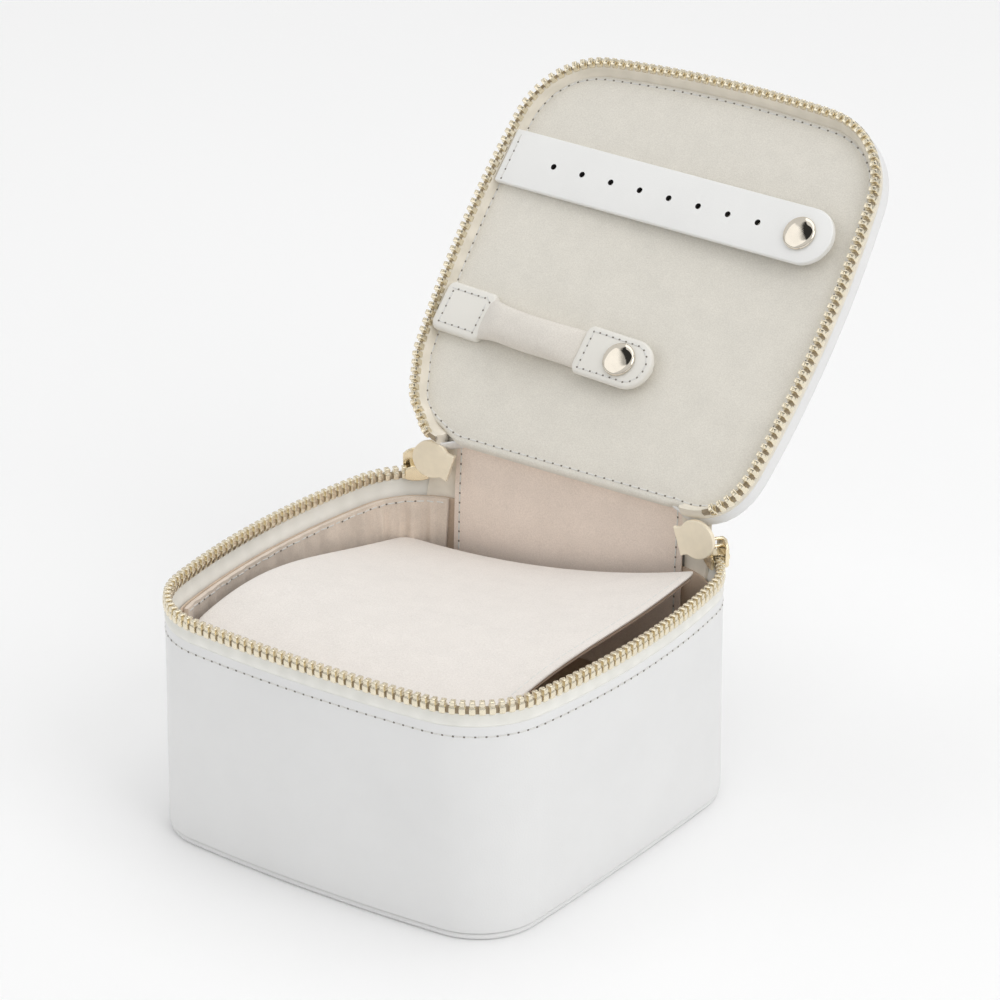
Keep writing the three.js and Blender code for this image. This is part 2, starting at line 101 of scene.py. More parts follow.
def stations(path, start=90.0, steps=14):
    """Rows of x, y and outward normal along a path, anticlockwise from the back left corner. `start` is the
    normal's angle at the first row: 90 takes in the whole corner, more cuts the path short at both ends."""
    c = path["half"] - path["radius"]
    radius = path["radius"]
    side = 2 * math.atan(path["side_bow"] / c)
    front = 2 * math.atan(path["front_bow"] / c)
    side_r = radius + c / math.sin(side)
    front_r = radius + c / math.sin(front)
    side_x = c / math.tan(side) - c
    front_y = c / math.tan(front) - c
    quarter = math.pi / 2
    cut = math.radians(start - 90)
    arcs = [
        (-c, c, radius, quarter + cut, 2 * quarter - side),
        (side_x, 0, side_r, 2 * quarter - side, 2 * quarter + side),
        (-c, -c, radius, 2 * quarter + side, 3 * quarter - front),
        (0, front_y, front_r, 3 * quarter - front, 3 * quarter + front),
        (c, -c, radius, 3 * quarter + front, 4 * quarter - side),
        (-side_x, 0, side_r, 4 * quarter - side, 4 * quarter + side),
        (c, c, radius, 4 * quarter + side, 5 * quarter - cut),
    ]
    rows = []
    for x, y, r, first, last in arcs:
        for i in range(steps):
            angle = first + (last - first) * i / steps
            rows.append((x + r * math.cos(angle), y + r * math.sin(angle), math.cos(angle), math.sin(angle)))
    end = 5 * quarter - cut
    rows.append((c + radius * math.cos(end), c + radius * math.sin(end), math.cos(end), math.sin(end)))
    return np.array(rows)


def with_back(rows, count=12):
    """Adds stations along the straight back, so that a closed ring is evenly fine all round."""
    x = np.linspace(rows[-1][0], rows[0][0], count + 2)[1:-1]
    back = np.column_stack([x, np.full(count, rows[0][1]), np.zeros(count), np.ones(count)])
    return np.vstack([rows, back])


def spaced(points, extra, pitch):
    """Points at an even pitch along a polyline, with their directions and a matching row of `extra`."""
    points = np.asarray(points, float)
    run = np.concatenate([[0], np.cumsum(np.linalg.norm(np.diff(points, axis=0), axis=1))])
    count = max(2, round(run[-1] / pitch))
    at = (np.arange(count) + 0.5) * run[-1] / count
    place = np.column_stack([np.interp(at, run, points[:, k]) for k in range(3)])
    ahead = np.column_stack([np.interp(at + 0.2, run, points[:, k]) for k in range(3)])
    behind = np.column_stack([np.interp(at - 0.2, run, points[:, k]) for k in range(3)])
    along = ahead - behind
    along /= np.linalg.norm(along, axis=1)[:, None]
    extra = np.asarray(extra, float)
    other = np.column_stack([np.interp(at, run, extra[:, k]) for k in range(3)])
    other /= np.linalg.norm(other, axis=1)[:, None]
    return place, along, other


def ring_points(rows, offset, z):
    return np.column_stack([rows[:, 0] + rows[:, 2] * offset, rows[:, 1] + rows[:, 3] * offset,
                            np.full(len(rows), z)])


def shrunk(ring, share, z, middle=(0.0, 0.0)):
    """A ring's points drawn in towards the middle, at another height."""
    points = np.array(ring)
    points[:, 0] = middle[0] + (points[:, 0] - middle[0]) * share
    points[:, 1] = middle[1] + (points[:, 1] - middle[1]) * share
    points[:, 2] = z
    return points


# ---- Meshes ----

def loft(sections, ring=False, caps=True):
    """Points and faces of a solid through sections that have the same number of points."""
    count = len(sections[0])
    points = [Vector(p) for section in sections for p in section]
    faces = []
    rows = len(sections) if ring else len(sections) - 1
    for i in range(rows):
        here, after = i * count, (i + 1) % len(sections) * count
        for j in range(count):
            k = (j + 1) % count
            faces.append((here + j, after + j, after + k, here + k))
    if caps and not ring:
        faces.append(tuple(range(count)))
        faces.append(tuple(range(len(points) - 1, len(points) - 1 - count, -1)))
    return points, faces


def lathe(profile, segments=40):
    """A solid turned about Z from (radius, z) points, which start and end on the axis."""
    points = [Vector((0, 0, profile[0][1]))]
    for radius, z in profile[1:-1]:
        for i in range(segments):
            angle = 2 * math.pi * i / segments
            points.append(Vector((radius * math.cos(angle), radius * math.sin(angle), z)))
    points.append(Vector((0, 0, profile[-1][1])))
    last = len(points) - 1
    faces = []
    for i in range(segments):
        after = (i + 1) % segments
        faces.append((0, 1 + i, 1 + after))
        faces.append((last, last - segments + after, last - segments + i))
        for row in range(len(profile) - 3):
            base = 1 + row * segments
            faces.append((base + i, base + segments + i, base + segments + after, base + after))
    return points, faces


def joined(*parts):
    """Several (points, faces) pairs as one."""
    points, faces = [], []
    for more_points, more_faces in parts:
        shift = len(points)
        points += [Vector(p) for p in more_points]
        faces += [tuple(shift + i for i in face) for face in more_faces]
    return points, faces


def moved(shape, matrix):
    points, faces = shape
    return [matrix @ Vector(p) for p in points], faces


def repeated(template, frames):
    """Copies of one shape, each placed by an origin and its x, y and z directions."""
    points, faces = template
    base = np.array([list(p) for p in points])
    all_points, all_faces = [], []
    for origin, x, y, z in frames:
        shift = len(all_points)
        placed = origin + base[:, :1] * x + base[:, 1:2] * y + base[:, 2:3] * z
        all_points += [Vector(p) for p in placed]
        all_faces += [tuple(shift + i for i in face) for face in faces]
    return all_points, all_faces


def rounded_box(half, round_by, steps=2):
    """A box with rounded long edges, as a loft along x, with its ends drawn in."""
    hx, hy, hz = half

    def section(x, shrink):
        ring = []
        for sy, sz, first in ((1, 1, 0), (-1, 1, 90), (-1, -1, 180), (1, -1, 270)):
            for i in range(steps + 1):
                angle = math.radians(first + 90 * i / steps)
                ring.append((x, sy * (hy - round_by) * shrink + round_by * shrink * math.cos(angle),
                             sz * (hz - round_by) * shrink + round_by * shrink * math.sin(angle)))
        return ring

    ends = [(-hx, 0.6), (-hx * 0.8, 1), (hx * 0.8, 1), (hx, 0.6)]
    return loft([section(x, shrink) for x, shrink in ends])


def add(name, shape, material, body, place=None, crease=40, bevel=0.0, smooth=0, stands_for=()):
    """Makes a piece from points in millimetres, gives it its finish, and lets it ride on its body."""
    points, faces = moved(shape, place) if place else shape
    mesh = bpy.data.meshes.new(name)
    mesh.from_pydata([Vector(p) * MM for p in points], [], faces)
    tidy = bmesh.new()
    tidy.from_mesh(mesh)
    bmesh.ops.recalc_face_normals(tidy, faces=tidy.faces)
    tidy.to_mesh(mesh)
    tidy.free()
    mesh.shade_smooth()
    mesh.set_sharp_from_angle(angle=math.radians(crease))
    mesh.materials.append(material)
    piece = bpy.data.objects.new(name, mesh)
    bpy.context.scene.collection.objects.link(piece)
    if bevel:
        edge = piece.modifiers.new("edge", "BEVEL")
        edge.width = bevel * MM
        edge.segments = 3
        edge.limit_method = "ANGLE"
        edge.harden_normals = True
    if smooth:
        fine = piece.modifiers.new("fine", "SUBSURF")
        fine.levels = fine.render_levels = smooth
    if body:
        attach(piece, body)
    if stands_for:
        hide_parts(*stands_for)
    return piece


# ---- Materials ----

def new_material(name, color, roughness, metallic=0.0, shader=()):
    """A Principled material. `shader` holds the other sockets that stay the same all over, by name."""
    material = bpy.data.materials.new(name)
    material.use_nodes = True
    surface = material.node_tree.nodes["Principled BSDF"]
    surface.inputs["Base Color"].default_value = (*color, 1)
    surface.inputs["Roughness"].default_value = roughness
    surface.inputs["Metallic"].default_value = metallic
    for key, value in dict(shader).items():
        surface.inputs[key].default_value = value
    material.diffuse_color = (*color, 1)
    return material


class Nodes:
    """Short names for building one material's nodes."""

    def __init__(self, material):
        self.tree = material.node_tree
        self.surface = self.tree.nodes["Principled BSDF"]
        self.position = self.tree.nodes.new("ShaderNodeTexCoord").outputs["Object"]

    def make(self, kind, **settings):
        node = self.tree.nodes.new(kind)
        for key, value in settings.items():
            if hasattr(node, key):
                setattr(node, key, value)
            else:
                node.inputs[key.replace("_", " ").title()].default_value = value
        return node

    def link(self, a, b):
        self.tree.links.new(a, b)

    def stretched(self, scale):
        node = self.make("ShaderNodeMapping")
        node.inputs["Scale"].default_value = scale
        self.link(self.position, node.inputs["Vector"])
        return node.outputs["Vector"]

    def noise(self, size, detail=4.0, roughness=0.55, vector=None):
        """Noise whose blotches are about `size` millimetres across."""
        node = self.make("ShaderNodeTexNoise", scale=1 / (size * MM), detail=detail, roughness=roughness)
        self.link(vector or self.position, node.inputs["Vector"])
        return node.outputs["Fac"]

    def cells(self, size):
        node = self.make("ShaderNodeTexVoronoi", feature="F1", scale=1 / (size * MM))
        self.link(self.position, node.inputs["Vector"])
        return node.outputs["Distance"]

    def ramp(self, value, stops):
        node = self.make("ShaderNodeValToRGB")
        while len(node.color_ramp.elements) < len(stops):
            node.color_ramp.elements.new(0.5)
        for element, (place, color) in zip(node.color_ramp.elements, stops):
            element.position = place
            element.color = (*color, 1) if len(color) == 3 else (color[0],) * 3 + (1,)
        self.link(value, node.inputs["Fac"])
        return node.outputs["Color"]

    def span(self, value, low, high, from_low=0.3, from_high=0.7):
        node = self.make("ShaderNodeMapRange")
        for key, number in (("From Min", from_low), ("From Max", from_high), ("To Min", low), ("To Max", high)):
            node.inputs[key].default_value = number
        self.link(value, node.inputs["Value"])
        return node.outputs["Result"]

    def blend(self, a, b, factor, mode="MIX"):
        node = self.make("ShaderNodeMix", data_type="RGBA", blend_type=mode)
        sockets = {"factor": node.inputs[0], "a": node.inputs[6], "b": node.inputs[7]}
        for key, value in (("factor", factor), ("a", a), ("b", b)):
            if isinstance(value, (int, float)):
                sockets[key].default_value = value
            elif isinstance(value, tuple):
                sockets[key].default_value = (*value, 1)
            else:
                self.link(value, sockets[key])
        return node.outputs[2]

    def bump(self, height, strength, depth):
        """A bump of `depth` millimetres."""
        node = self.make("ShaderNodeBump", strength=strength, distance=depth * MM)
        self.link(height, node.inputs["Height"])
        if self.surface.inputs["Normal"].is_linked:
            self.link(self.surface.inputs["Normal"].links[0].from_socket, node.inputs["Normal"])
        self.link(node.outputs["Normal"], self.surface.inputs["Normal"])

    def color(self, value):
        self.link(value, self.surface.inputs["Base Color"])

    def roughness(self, value):
        self.link(value, self.surface.inputs["Roughness"])


def shade(color, factor):
    return tuple(c * factor for c in color)


def leather_material(name, color, grain=0.45, depth=0.035):
    """Smooth coated leather: fine pebble grain, faint clouding, worn sheen."""
    material = new_material(name, color, 0.42, shader={"Specular IOR Level": 0.45, "Coat Weight": 0.08})
    n = Nodes(material)
    clouds = n.noise(26, 3)
    n.color(n.ramp(clouds, [(0.3, shade(color, 0.965)), (0.7, color)]))
    n.roughness(n.span(n.noise(1.6, 3), 0.36, 0.5))
    n.bump(n.noise(14, 2), 0.5, 0.12)
    n.bump(n.cells(grain), 0.5, depth)
    n.bump(n.noise(grain * 0.4, 2), 0.3, depth * 0.5)
    return material


def suede_material(name, color, dark=0.86):
    """Brushed microfibre: short nap that lies in soft patches, with tiny flecks."""
    material = new_material(name, color, 0.95,
                            shader={"Specular IOR Level": 0.2, "Sheen Weight": 0.35, "Sheen Roughness": 0.5})
    n = Nodes(material)
    nap = n.ramp(n.noise(7, 4, 0.6), [(0.32, shade(color, dark)), (0.68, color)])
    flecks = n.ramp(n.noise(0.35, 2, 0.7), [(0.3, (0.86, 0.85, 0.84)), (0.7, (1.0, 1.0, 1.0))])
    n.color(n.blend(nap, flecks, 1.0, "MULTIPLY"))
    n.bump(n.noise(1.1, 3), 0.45, 0.12)
    n.bump(n.noise(0.3, 2, 0.7), 0.6, 0.09)
    return material


def tape_material(name, color):
    """Woven zip tape: fine ribs both ways."""
    material = new_material(name, color, 0.9, shader={"Specular IOR Level": 0.25, "Sheen Weight": 0.2})
    n = Nodes(material)
    height = None
    for axis in ("X", "Y", "Z"):
        wave = n.make("ShaderNodeTexWave", wave_type="BANDS", bands_direction=axis, scale=320.0 / 6.283,
                      distortion=0.6, detail=1.0)
        n.link(n.position, wave.inputs["Vector"])
        height = wave.outputs["Fac"] if height is None else n.blend(height, wave.outputs["Fac"], 0.5)
    n.color(n.blend(n.ramp(n.noise(5, 3), [(0.3, shade(color, 0.94)), (0.7, color)]),
                    n.ramp(height, [(0.2, (0.9, 0.9, 0.89)), (0.8, (1.0, 1.0, 1.0))]), 1.0, "MULTIPLY"))
    n.bump(height, 0.5, 0.12)
    n.bump(n.noise(0.4, 2), 0.3, 0.06)
    return material


def metal_material(name, color, roughness, wear=0.12, metallic=1.0):
    """Plated metal: faint smudges and hairline scratches in its gloss."""
    material = new_material(name, color, roughness, metallic)
    n = Nodes(material)
    n.color(n.ramp(n.noise(3, 3), [(0.3, shade(color, 0.93)), (0.7, color)]))
    smudge = n.noise(2.2, 5, 0.65)
    n.roughness(n.span(smudge, max(0.02, roughness - wear * 0.4), roughness + wear))
    scratch = n.noise(0.25, 2, 0.5, n.stretched((1, 9, 9)))
    n.bump(scratch, 0.12, 0.01)
    return material


def thread_material(name, color):
    """Twisted sewing thread."""
    material = new_material(name, color, 0.75, shader={"Sheen Weight": 0.2})
    n = Nodes(material)
    n.color(n.ramp(n.noise(0.5, 2), [(0.3, shade(color, 0.85)), (0.7, color)]))
    n.bump(n.noise(0.12, 2), 0.5, 0.05)
    return material


def dark_material(name, color):
    """Dark matte colour with faint blotches: painted shade inside a needle hole or a punched hole, and the hidden
    board's own grey.
    """
    material = new_material(name, color, 0.95)
    n = Nodes(material)
    n.color(n.ramp(n.noise(0.4, 2), [(0.3, shade(color, 0.7)), (0.7, color)]))
    return material


WHITE = leather_material("white_leather", (0.825, 0.825, 0.82))
STRAP_WHITE = leather_material("strap_leather", (0.87, 0.87, 0.855), grain=0.35, depth=0.03)
TAB_CREAM = leather_material("tab_leather", (0.82, 0.80, 0.745), grain=0.35, depth=0.03)
SUEDE = suede_material("suede", (0.88, 0.81, 0.715))
# A deep brown copy of the suede for the wall lining: painted shade for the dark gap under the flap.
SUEDE_WALL_SHADED = suede_material("suede_wall_shaded", (0.72, 0.57, 0.44))
SUEDE_LID = suede_material("suede_lid", (0.83, 0.80, 0.725), dark=0.95)
SUEDE_FLAP = suede_material("suede_flap", (0.90, 0.855, 0.81), dark=0.96)
SUEDE_ROLL = suede_material("suede_roll", (0.82, 0.78, 0.715), dark=0.95)
# The hinge panel's pinkish suede, made paler to make up for the shade it stands in: partly its own tone, partly
# painted light.
SUEDE_PANEL_PAINTED_LIGHT = suede_material("suede_panel_painted_light", (0.95, 0.825, 0.73), dark=0.94)
SUEDE_POCKET = suede_material("suede_pocket", (0.87, 0.755, 0.65), dark=0.84)
# Brown for the flap's backing: painted shade, so the gap under the flap reads dark.
SUEDE_BACKING_SHADED = suede_material("suede_backing_shaded", (0.5, 0.36, 0.27))
TAPE = tape_material("zip_tape", (0.93, 0.92, 0.87))
CORNER_TAPE = tape_material("corner_tape", (0.93, 0.87, 0.77))
LID_TAPE = tape_material("lid_tape", (0.86, 0.8, 0.69))
# A dark brown copy of the tape: painted shade in the gaps between the teeth.
GAP_SHADE = tape_material("chain_gap_shade", (0.36, 0.29, 0.2))
GOLD = metal_material("gold_teeth", (0.88, 0.80, 0.63), 0.2)
PLATE_GOLD = metal_material("gold_plate", (1.0, 0.9, 0.71), 0.35, wear=0.05, metallic=0.05)
SLIDER_GOLD = metal_material("gold_slider", (0.95, 0.83, 0.6), 0.18)
SNAP = metal_material("snap_plate", (0.78, 0.72, 0.62), 0.03, wear=0.03)
THREAD = thread_material("thread", (0.8, 0.79, 0.76))
# Dark marks at the needle holes: painted shade in the holes.
NEEDLE_HOLE_SHADE = dark_material("needle_hole_shade", (0.24, 0.22, 0.19))
# Near-black walls for the punched holes: painted shade inside them.
PUNCHED_HOLE_SHADE = dark_material("punched_hole_shade", (0.035, 0.03, 0.03))
HIDDEN_BOARD = dark_material("board", (0.45, 0.42, 0.36))


# ---- Stitches ----

STITCH_PITCH = 2.75


def stitch_row(name, points, normals, body, place=None, pitch=STITCH_PITCH, holes=NEEDLE_HOLE_SHADE):
    """Threads laid along a polyline on a surface, with a needle hole between each and the next, drawn as a small
    mark in the `holes` material: a dark one paints the shade in the hole.
    """
    place_at, along, up = spaced(points, normals, pitch)
    side = np.cross(up, along)
    thread = rounded_box((0.36 * pitch, 0.2, 0.12), 0.11)
    frames = list(zip(place_at, along, side, up))
    threads = repeated(thread, frames)
    hole = rounded_box((0.26, 0.22, 0.07), 0.06)
    half = along * pitch / 2
    shape = joined(threads, repeated(hole, list(zip(place_at + half, along, side, up))))
    piece = add(name, shape, THREAD, None, place)
    piece.data.materials.append(holes)
    first_hole_face = len(threads[1])
    for polygon in piece.data.polygons[first_hole_face:]:
        polygon.material_index = 1
    if body:
        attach(piece, body)
    return piece


# ---- Base ----

foot_rows = with_back(stations(FOOT))
rim_rows = with_back(stations(RIM))


def wall_point(i, z, offset):
    """A point in the wall: on the underside's outline at the foot, on the zip's path from STRAIGHT_Z up."""
    share = min(1.0, z / STRAIGHT_Z)
    foot, rim = foot_rows[i], rim_rows[i]
    low = foot[:2] + foot[2:] * (offset - 0.7)
    high = rim[:2] + rim[2:] * offset
    x, y = low + (high - low) * share
    return (x, y, z)


def wall_ring(section):
    return loft([[wall_point(i, z, offset) for offset, z in section] for i in range(len(rim_rows))], ring=True)


def base_shell():
    top, foot = LEATHER_TOP, WALL_FOOT
    heights = np.linspace(foot + 0.5, top - 0.4, 14)
    outer = [(0.3, foot), (0.6, foot + 0.15)] + [(0.7, z) for z in heights] + [(0.68, top - 0.06), (0.6, top)]
    inner = [(-0.1, top), (-0.28, top - 0.3), (-0.3, STRAIGHT_Z), (-0.3, foot)]
    add("base_shell", wall_ring(outer + inner), WHITE, "base",
        stands_for=["base_wall_leather"])


def base_bottom():
    levels = [(-3.0, 0.0), (-1.3, 0.05), (-0.75, 0.3), (-0.5, 0.7), (-0.5, 1.2), (-0.8, 1.75), (-1.6, 1.8)]
    rows = with_back(stations(FOOT))
    shape = loft([ring_points(rows, offset, z) for offset, z in levels])
    add("base_bottom", shape, WHITE, "base", crease=60, stands_for=["base_bottom_panel"])


def base_stitches():
    z = LEATHER_TOP - 2.7
    points = [wall_point(i, z, 0.72) for i in range(len(rim_rows))]
    normals = [(row[2], row[3], 0) for row in rim_rows]
    stitch_row("base_stitches", points + points[:1], normals + normals[:1], "base")


def base_lining():
    top = node_high("base_wall_lining").z
    foot = node_low("base_wall_lining").z
    section = [(-2.0, foot), (-2.0, top - 0.4), (-2.2, top), (-2.6, top), (-2.8, top - 0.4)]
    section += [(-2.8, z) for z in np.linspace(top - 6, foot + 4, 8)] + [(-2.8, foot)]
    # The wall lining takes the deep brown suede: painted shade.
    add("base_lining", wall_ring(section), SUEDE_WALL_SHADED, "base", stands_for=["base_wall_lining"])


def floor_pad():
    low, high = node_low("base_floor_pad").z, node_high("base_floor_pad").z
    rows = with_back(stations(FOOT))
    levels = [(-4.8, low), (-4.6, low + 0.8), (-4.9, low + 1.8), (-5.8, high - 0.4), (-9, high - 0.1)]
    rings = [ring_points(rows, offset, z) for offset, z in levels]
    rings += [shrunk(rings[-1], share, high) for share in (0.85, 0.6, 0.35, 0.1)]
    shape = loft(rings)
    pad = add("floor_pad", shape, SUEDE, "base", crease=60, stands_for=["base_floor_pad"])


SLIDER_SPAN = 8.5
ZIP_START = 91.0
CHAIN_START = PARK - SLIDER_SPAN + 2
LID_ZIP_START = 108.0
RIGHT_END_ROWS = 3  # how many stations sooner the lid's teeth end on the right


# A dark strip in the tape's edge that paints the shade between the teeth, where the real cord is pale: offset and
# rise from the teeth's middle.
GAP_SHADE_SECTION = [(-0.55, -2.0), (0.55, -2.0), (0.6, -1.0), (0.45, -0.3), (-0.45, -0.3), (-0.6, -1.0)]


def along_path(rows, section, z):
    """A section of (offset, rise) points at each of a path's rows."""
    return [[(row[0] + row[2] * offset, row[1] + row[3] * offset, z + rise) for offset, rise in section]
            for row in rows]


def tape_sections(rows):
    """The base tape's section, from its sewn edge up to the teeth."""
    outer = [(-0.75, -7.6), (-0.7, -6.2), (-0.35, -5.7), (0.6, -5.49), (0.74, -5.44), (0.84, -4.9), (0.84, -3.7),
             (0.55, -2.2), (0.3, -1.3)]
    inner = [(-0.3, -1.3), (-0.45, -2.4), (-0.55, -3.4), (-0.8, -4.8), (-1.3, -6.2), (-1.35, -7.6)]
    return along_path(rows, outer + inner, CHAIN_Z)


def base_tape():
    rows = stations(RIM, ZIP_START)
    add("base_tape", loft(tape_sections(rows)), TAPE, "base", crease=70,
        stands_for=["base_zip_tape"])
    # A dark strip under the teeth: painted shade between them.
    add("base_gap_shade", loft(along_path(rows, GAP_SHADE_SECTION, CHAIN_Z)), GAP_SHADE, "base", crease=70)


TOOTH_PITCH = 2.42


def tooth_shape():
    """One metal tooth: legs that clamp the tape's edge below, and a narrow head with a nib on top."""
    def section(z, along, across):
        corner = 0.2
        ring = []
        for sx, sy, first in ((1, 1, 0), (-1, 1, 90), (-1, -1, 180), (1, -1, 270)):
            for turn in (0, 45, 90):
                angle = math.radians(first + turn)
                ring.append((sx * (along - corner) + corner * math.cos(angle),
                             sy * (across - corner) + corner * math.sin(angle), z))
        return ring

    levels = [(-2.2, 0.55, 0.9), (-2.0, 0.78, 1.1), (-1.2, 0.86, 1.2), (-0.3, 0.84, 1.18), (-0.05, 0.68, 1.08),
              (0.3, 0.6, 0.98), (0.85, 0.7, 1.04), (1.12, 0.62, 0.95), (1.24, 0.42, 0.65)]
    body = loft([section(z, along, across) for z, along, across in levels])
    nib = moved(lathe([(0, 1.55), (0.2, 1.5), (0.34, 1.25), (0.36, 1.0), (0, 0.9)], 8),
                Matrix.Translation((0.12, 0, 0)))
    return joined(body, nib)


def chain(name, points, normals, body, ups=None, place=None, flip=1, stands_for=()):
    """A row of separate teeth along a polyline. Their heads point up, or down where flip is -1."""
    at, along, outward = spaced(points, normals, TOOTH_PITCH)
    up = np.tile((0.0, 0.0, float(flip)), (len(at), 1)) if ups is None else ups(at)
    outward = np.cross(up, along) * -1
    outward /= np.linalg.norm(outward, axis=1)[:, None]
    frames = list(zip(at, along, outward, up))
    return add(name, repeated(tooth_shape(), frames), GOLD, body, place, crease=30, stands_for=stands_for)


def base_chain():
    rows = stations(RIM, CHAIN_START)
    points = ring_points(rows, 0, CHAIN_Z)
    normals = np.column_stack([rows[:, 2], rows[:, 3], np.zeros(len(rows))])
    chain("base_chain", points, normals, "base", stands_for=["base_zip_teeth"])


def side_pocket():
    """A gathered pocket round the back left corner, with a folded top edge drawn in by its elastic."""
    rows = stations(RIM, 90, 60)
    foot = stations(FOOT, 90, 60)
    first, last = 9, 130
    top = STRAIGHT_Z + 1.8
    heights = [9, 14, 22, 30, 38, 44, 49, 52.5, 55, 56.6, top - 1.1, top]
    run = 0.0
    outer, inner = [], []
    previous = rows[first]
    for i in range(first, last + 1):
        run += math.hypot(rows[i][0] - previous[0], rows[i][1] - previous[1])
        previous = rows[i]
        edge = min(1.0, (i - first) / 8, (last - i) / 8)
        fold = 0.5 * math.sin(run / 1.02) + 0.35 * math.sin(run / 0.57 + 1.3) + 0.25 * math.sin(run / 2.3)
        strips = ([], [])
        for z in heights:
            share = min(1.0, z / STRAIGHT_Z)
            drawn = edge * fold * (0.25 + 0.75 * math.exp(-((z - 50) / 9) ** 2))
            if z > 55:
                drawn *= 0.45
            swell = 0.5 * edge * math.sin(math.pi * min(1.0, z / 60))
            for strip, offset in zip(strips, (-4.45 - swell, -3.4)):
                depth = offset + (drawn if offset < -4 else 0) * 0.8
                low = foot[i][:2] + foot[i][2:] * (depth - 0.7)
                high = rows[i][:2] + rows[i][2:] * depth
                x, y = low + (high - low) * share
                strip.append((x, y, z))
        inner.append(strips[0])
        outer.append(strips[1])
    sections = [a + b[::-1] for a, b in zip(inner, outer)]
    pocket = add("pocket_cloth", loft(sections), SUEDE_POCKET, "base", crease=80, stands_for=["side_pocket"])
    stitch = [inner[k][10] for k in range(2, len(inner) - 2)]
    normals = [(-rows[first + k][2], -rows[first + k][3], 0) for k in range(2, len(inner) - 2)]
    stitch_row("pocket_stitches", stitch, normals, "base")


# ---- Hinge side ----

def curve_points(knots, count):
    """A smooth curve through (y, z) knots, as Catmull-Rom."""
    knots = [np.array(k, float) for k in knots]
    knots = [2 * knots[0] - knots[1]] + knots + [2 * knots[-1] - knots[-2]]
    found = []
    for i in range(1, len(knots) - 2):
        a, b, c, d = knots[i - 1:i + 3]
        for t in np.linspace(0, 1, count, endpoint=False):
            found.append(0.5 * (2 * b + (c - a) * t + (2 * a - 5 * b + 4 * c - d) * t * t
                                + (3 * b - a - 3 * c + d) * t ** 3))
    found.append(knots[-2])
    return np.array(found)


def hanging_sheet(knots, half, thick, across=24, count=8):
    """A sheet across the box that follows (y, z) knots, with rounded long edges."""
    line = curve_points(knots, count)
    ahead = np.gradient(line, axis=0)
    ahead /= np.linalg.norm(ahead, axis=1)[:, None]
    side = np.column_stack([-ahead[:, 1], ahead[:, 0]]) * thick / 2
    sections = []
    for x in np.linspace(-1, 1, across + 1):
        pinch = 1.0 if abs(x) < 0.999 else 0.5
        front = [(x * half, *(p - s * pinch)) for p, s in zip(line, side)]
        back = [(x * half, *(p + s * pinch)) for p, s in zip(line, side)]
        sections.append(front + back[::-1])
    return loft(sections)


def over_hinge(piece):
    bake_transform(piece)


def shut_to_open(y, z):
    point = LID_OPEN @ Vector((0, y, z))
    return (point.y, point.z)


def spine():
    """The outer leather that bends from the back wall on to the lid."""
    knots = [(57.75, LEATHER_TOP - 0.3), (57.95, 64), (57.8, 69), (57.5, 73), shut_to_open(54.9, LID_TOP - 0.4),
             shut_to_open(52.6, LID_TOP + 0.2), shut_to_open(49.5, LID_TOP + 0.1)]
    piece = add("spine_leather", hanging_sheet(knots, SPINE_HALF + 1.5, 1.0), WHITE, None, crease=60,
                stands_for=["hinge_spine_leather"])
    over_hinge(piece)


PANEL_KNOTS = [(52.7, 24), (53.3, 40), (53.9, 57), (54.3, 64), (54.7, 69.5), (54.9, 73), (54.6, 76),
               shut_to_open(54.4, LINING_Z + 2.0)]
PANEL_HALF = SPINE_HALF - 1.2


def hinge_panel():
    """The suede panel inside the hinge, from low in the box up to the lid's lining."""
    shape = hanging_sheet(PANEL_KNOTS, PANEL_HALF, 0.8, across=30)
    panel = add("hinge_panel", shape, SUEDE_PANEL_PAINTED_LIGHT, None, crease=60, stands_for=["hinge_lining"])
    over_hinge(panel)
    line = curve_points(PANEL_KNOTS, 8)
    line = line[line[:, 1] > 44]
    for name, x in (("left", 1.8 - PANEL_HALF), ("right", PANEL_HALF - 1.8)):
        points = [(x, y - 0.42, z) for y, z in line]
        row = stitch_row(f"hinge_panel_stitches_{name}", points, [(0, -1, 0.05)] * len(points), None)
        over_hinge(row)


def gusset(name, side):
    """The tape that closes a back corner, from the end of the base's zip up to the end of the lid's."""
    sections = []
    for angle in np.linspace(math.radians(97), math.radians(121), 13):
        out = Vector((math.cos(angle), math.sin(angle), 0))
        low = Vector((-CORNER, CORNER, CHAIN_Z - 7)) + out * (RIM["radius"] - 1.75)
        reach = LID["half"] - LID["radius"]
        high = LID_OPEN @ (Vector((-reach, reach, LID_CHAIN_Z + 4.6)) + out * (LID["radius"] - 2.2))
        middle = (low + high) / 2 + Vector((-0.4, 1.2, 0))
        outer, inner = [], []
        for t in np.linspace(0, 1, 12):
            point = low * (1 - t) ** 2 + middle * 2 * t * (1 - t) + high * t ** 2
            outer.append(point + out * 0.35)
            inner.append(point - out * 0.35)
        sections.append(outer + inner[::-1])
    piece = add(name, loft(sections), CORNER_TAPE, None, MIRROR if side > 0 else None, crease=70)
    over_hinge(piece)


# ---- Inner flap ----

FLAP = {"left": -49.0, "right": 45.5, "front": -50.0, "back": 48.0, "z": 53.0}
FLAP_BODY_THICK = 1.1


def flap_height(u, v):
    hump = (5.5 * math.sin(math.pi * v) + 1.6 * math.sin(2 * math.pi * v)) * (1 - 0.3 * u)
    twist = v * v * (15.5 * max(u, 0) ** 2.1 - 7)
    return FLAP["z"] + hump + twist


def corner_inset(distance, radius):
    if distance >= radius:
        return 0.0
    return radius - math.sqrt(radius ** 2 - (radius - distance) ** 2)


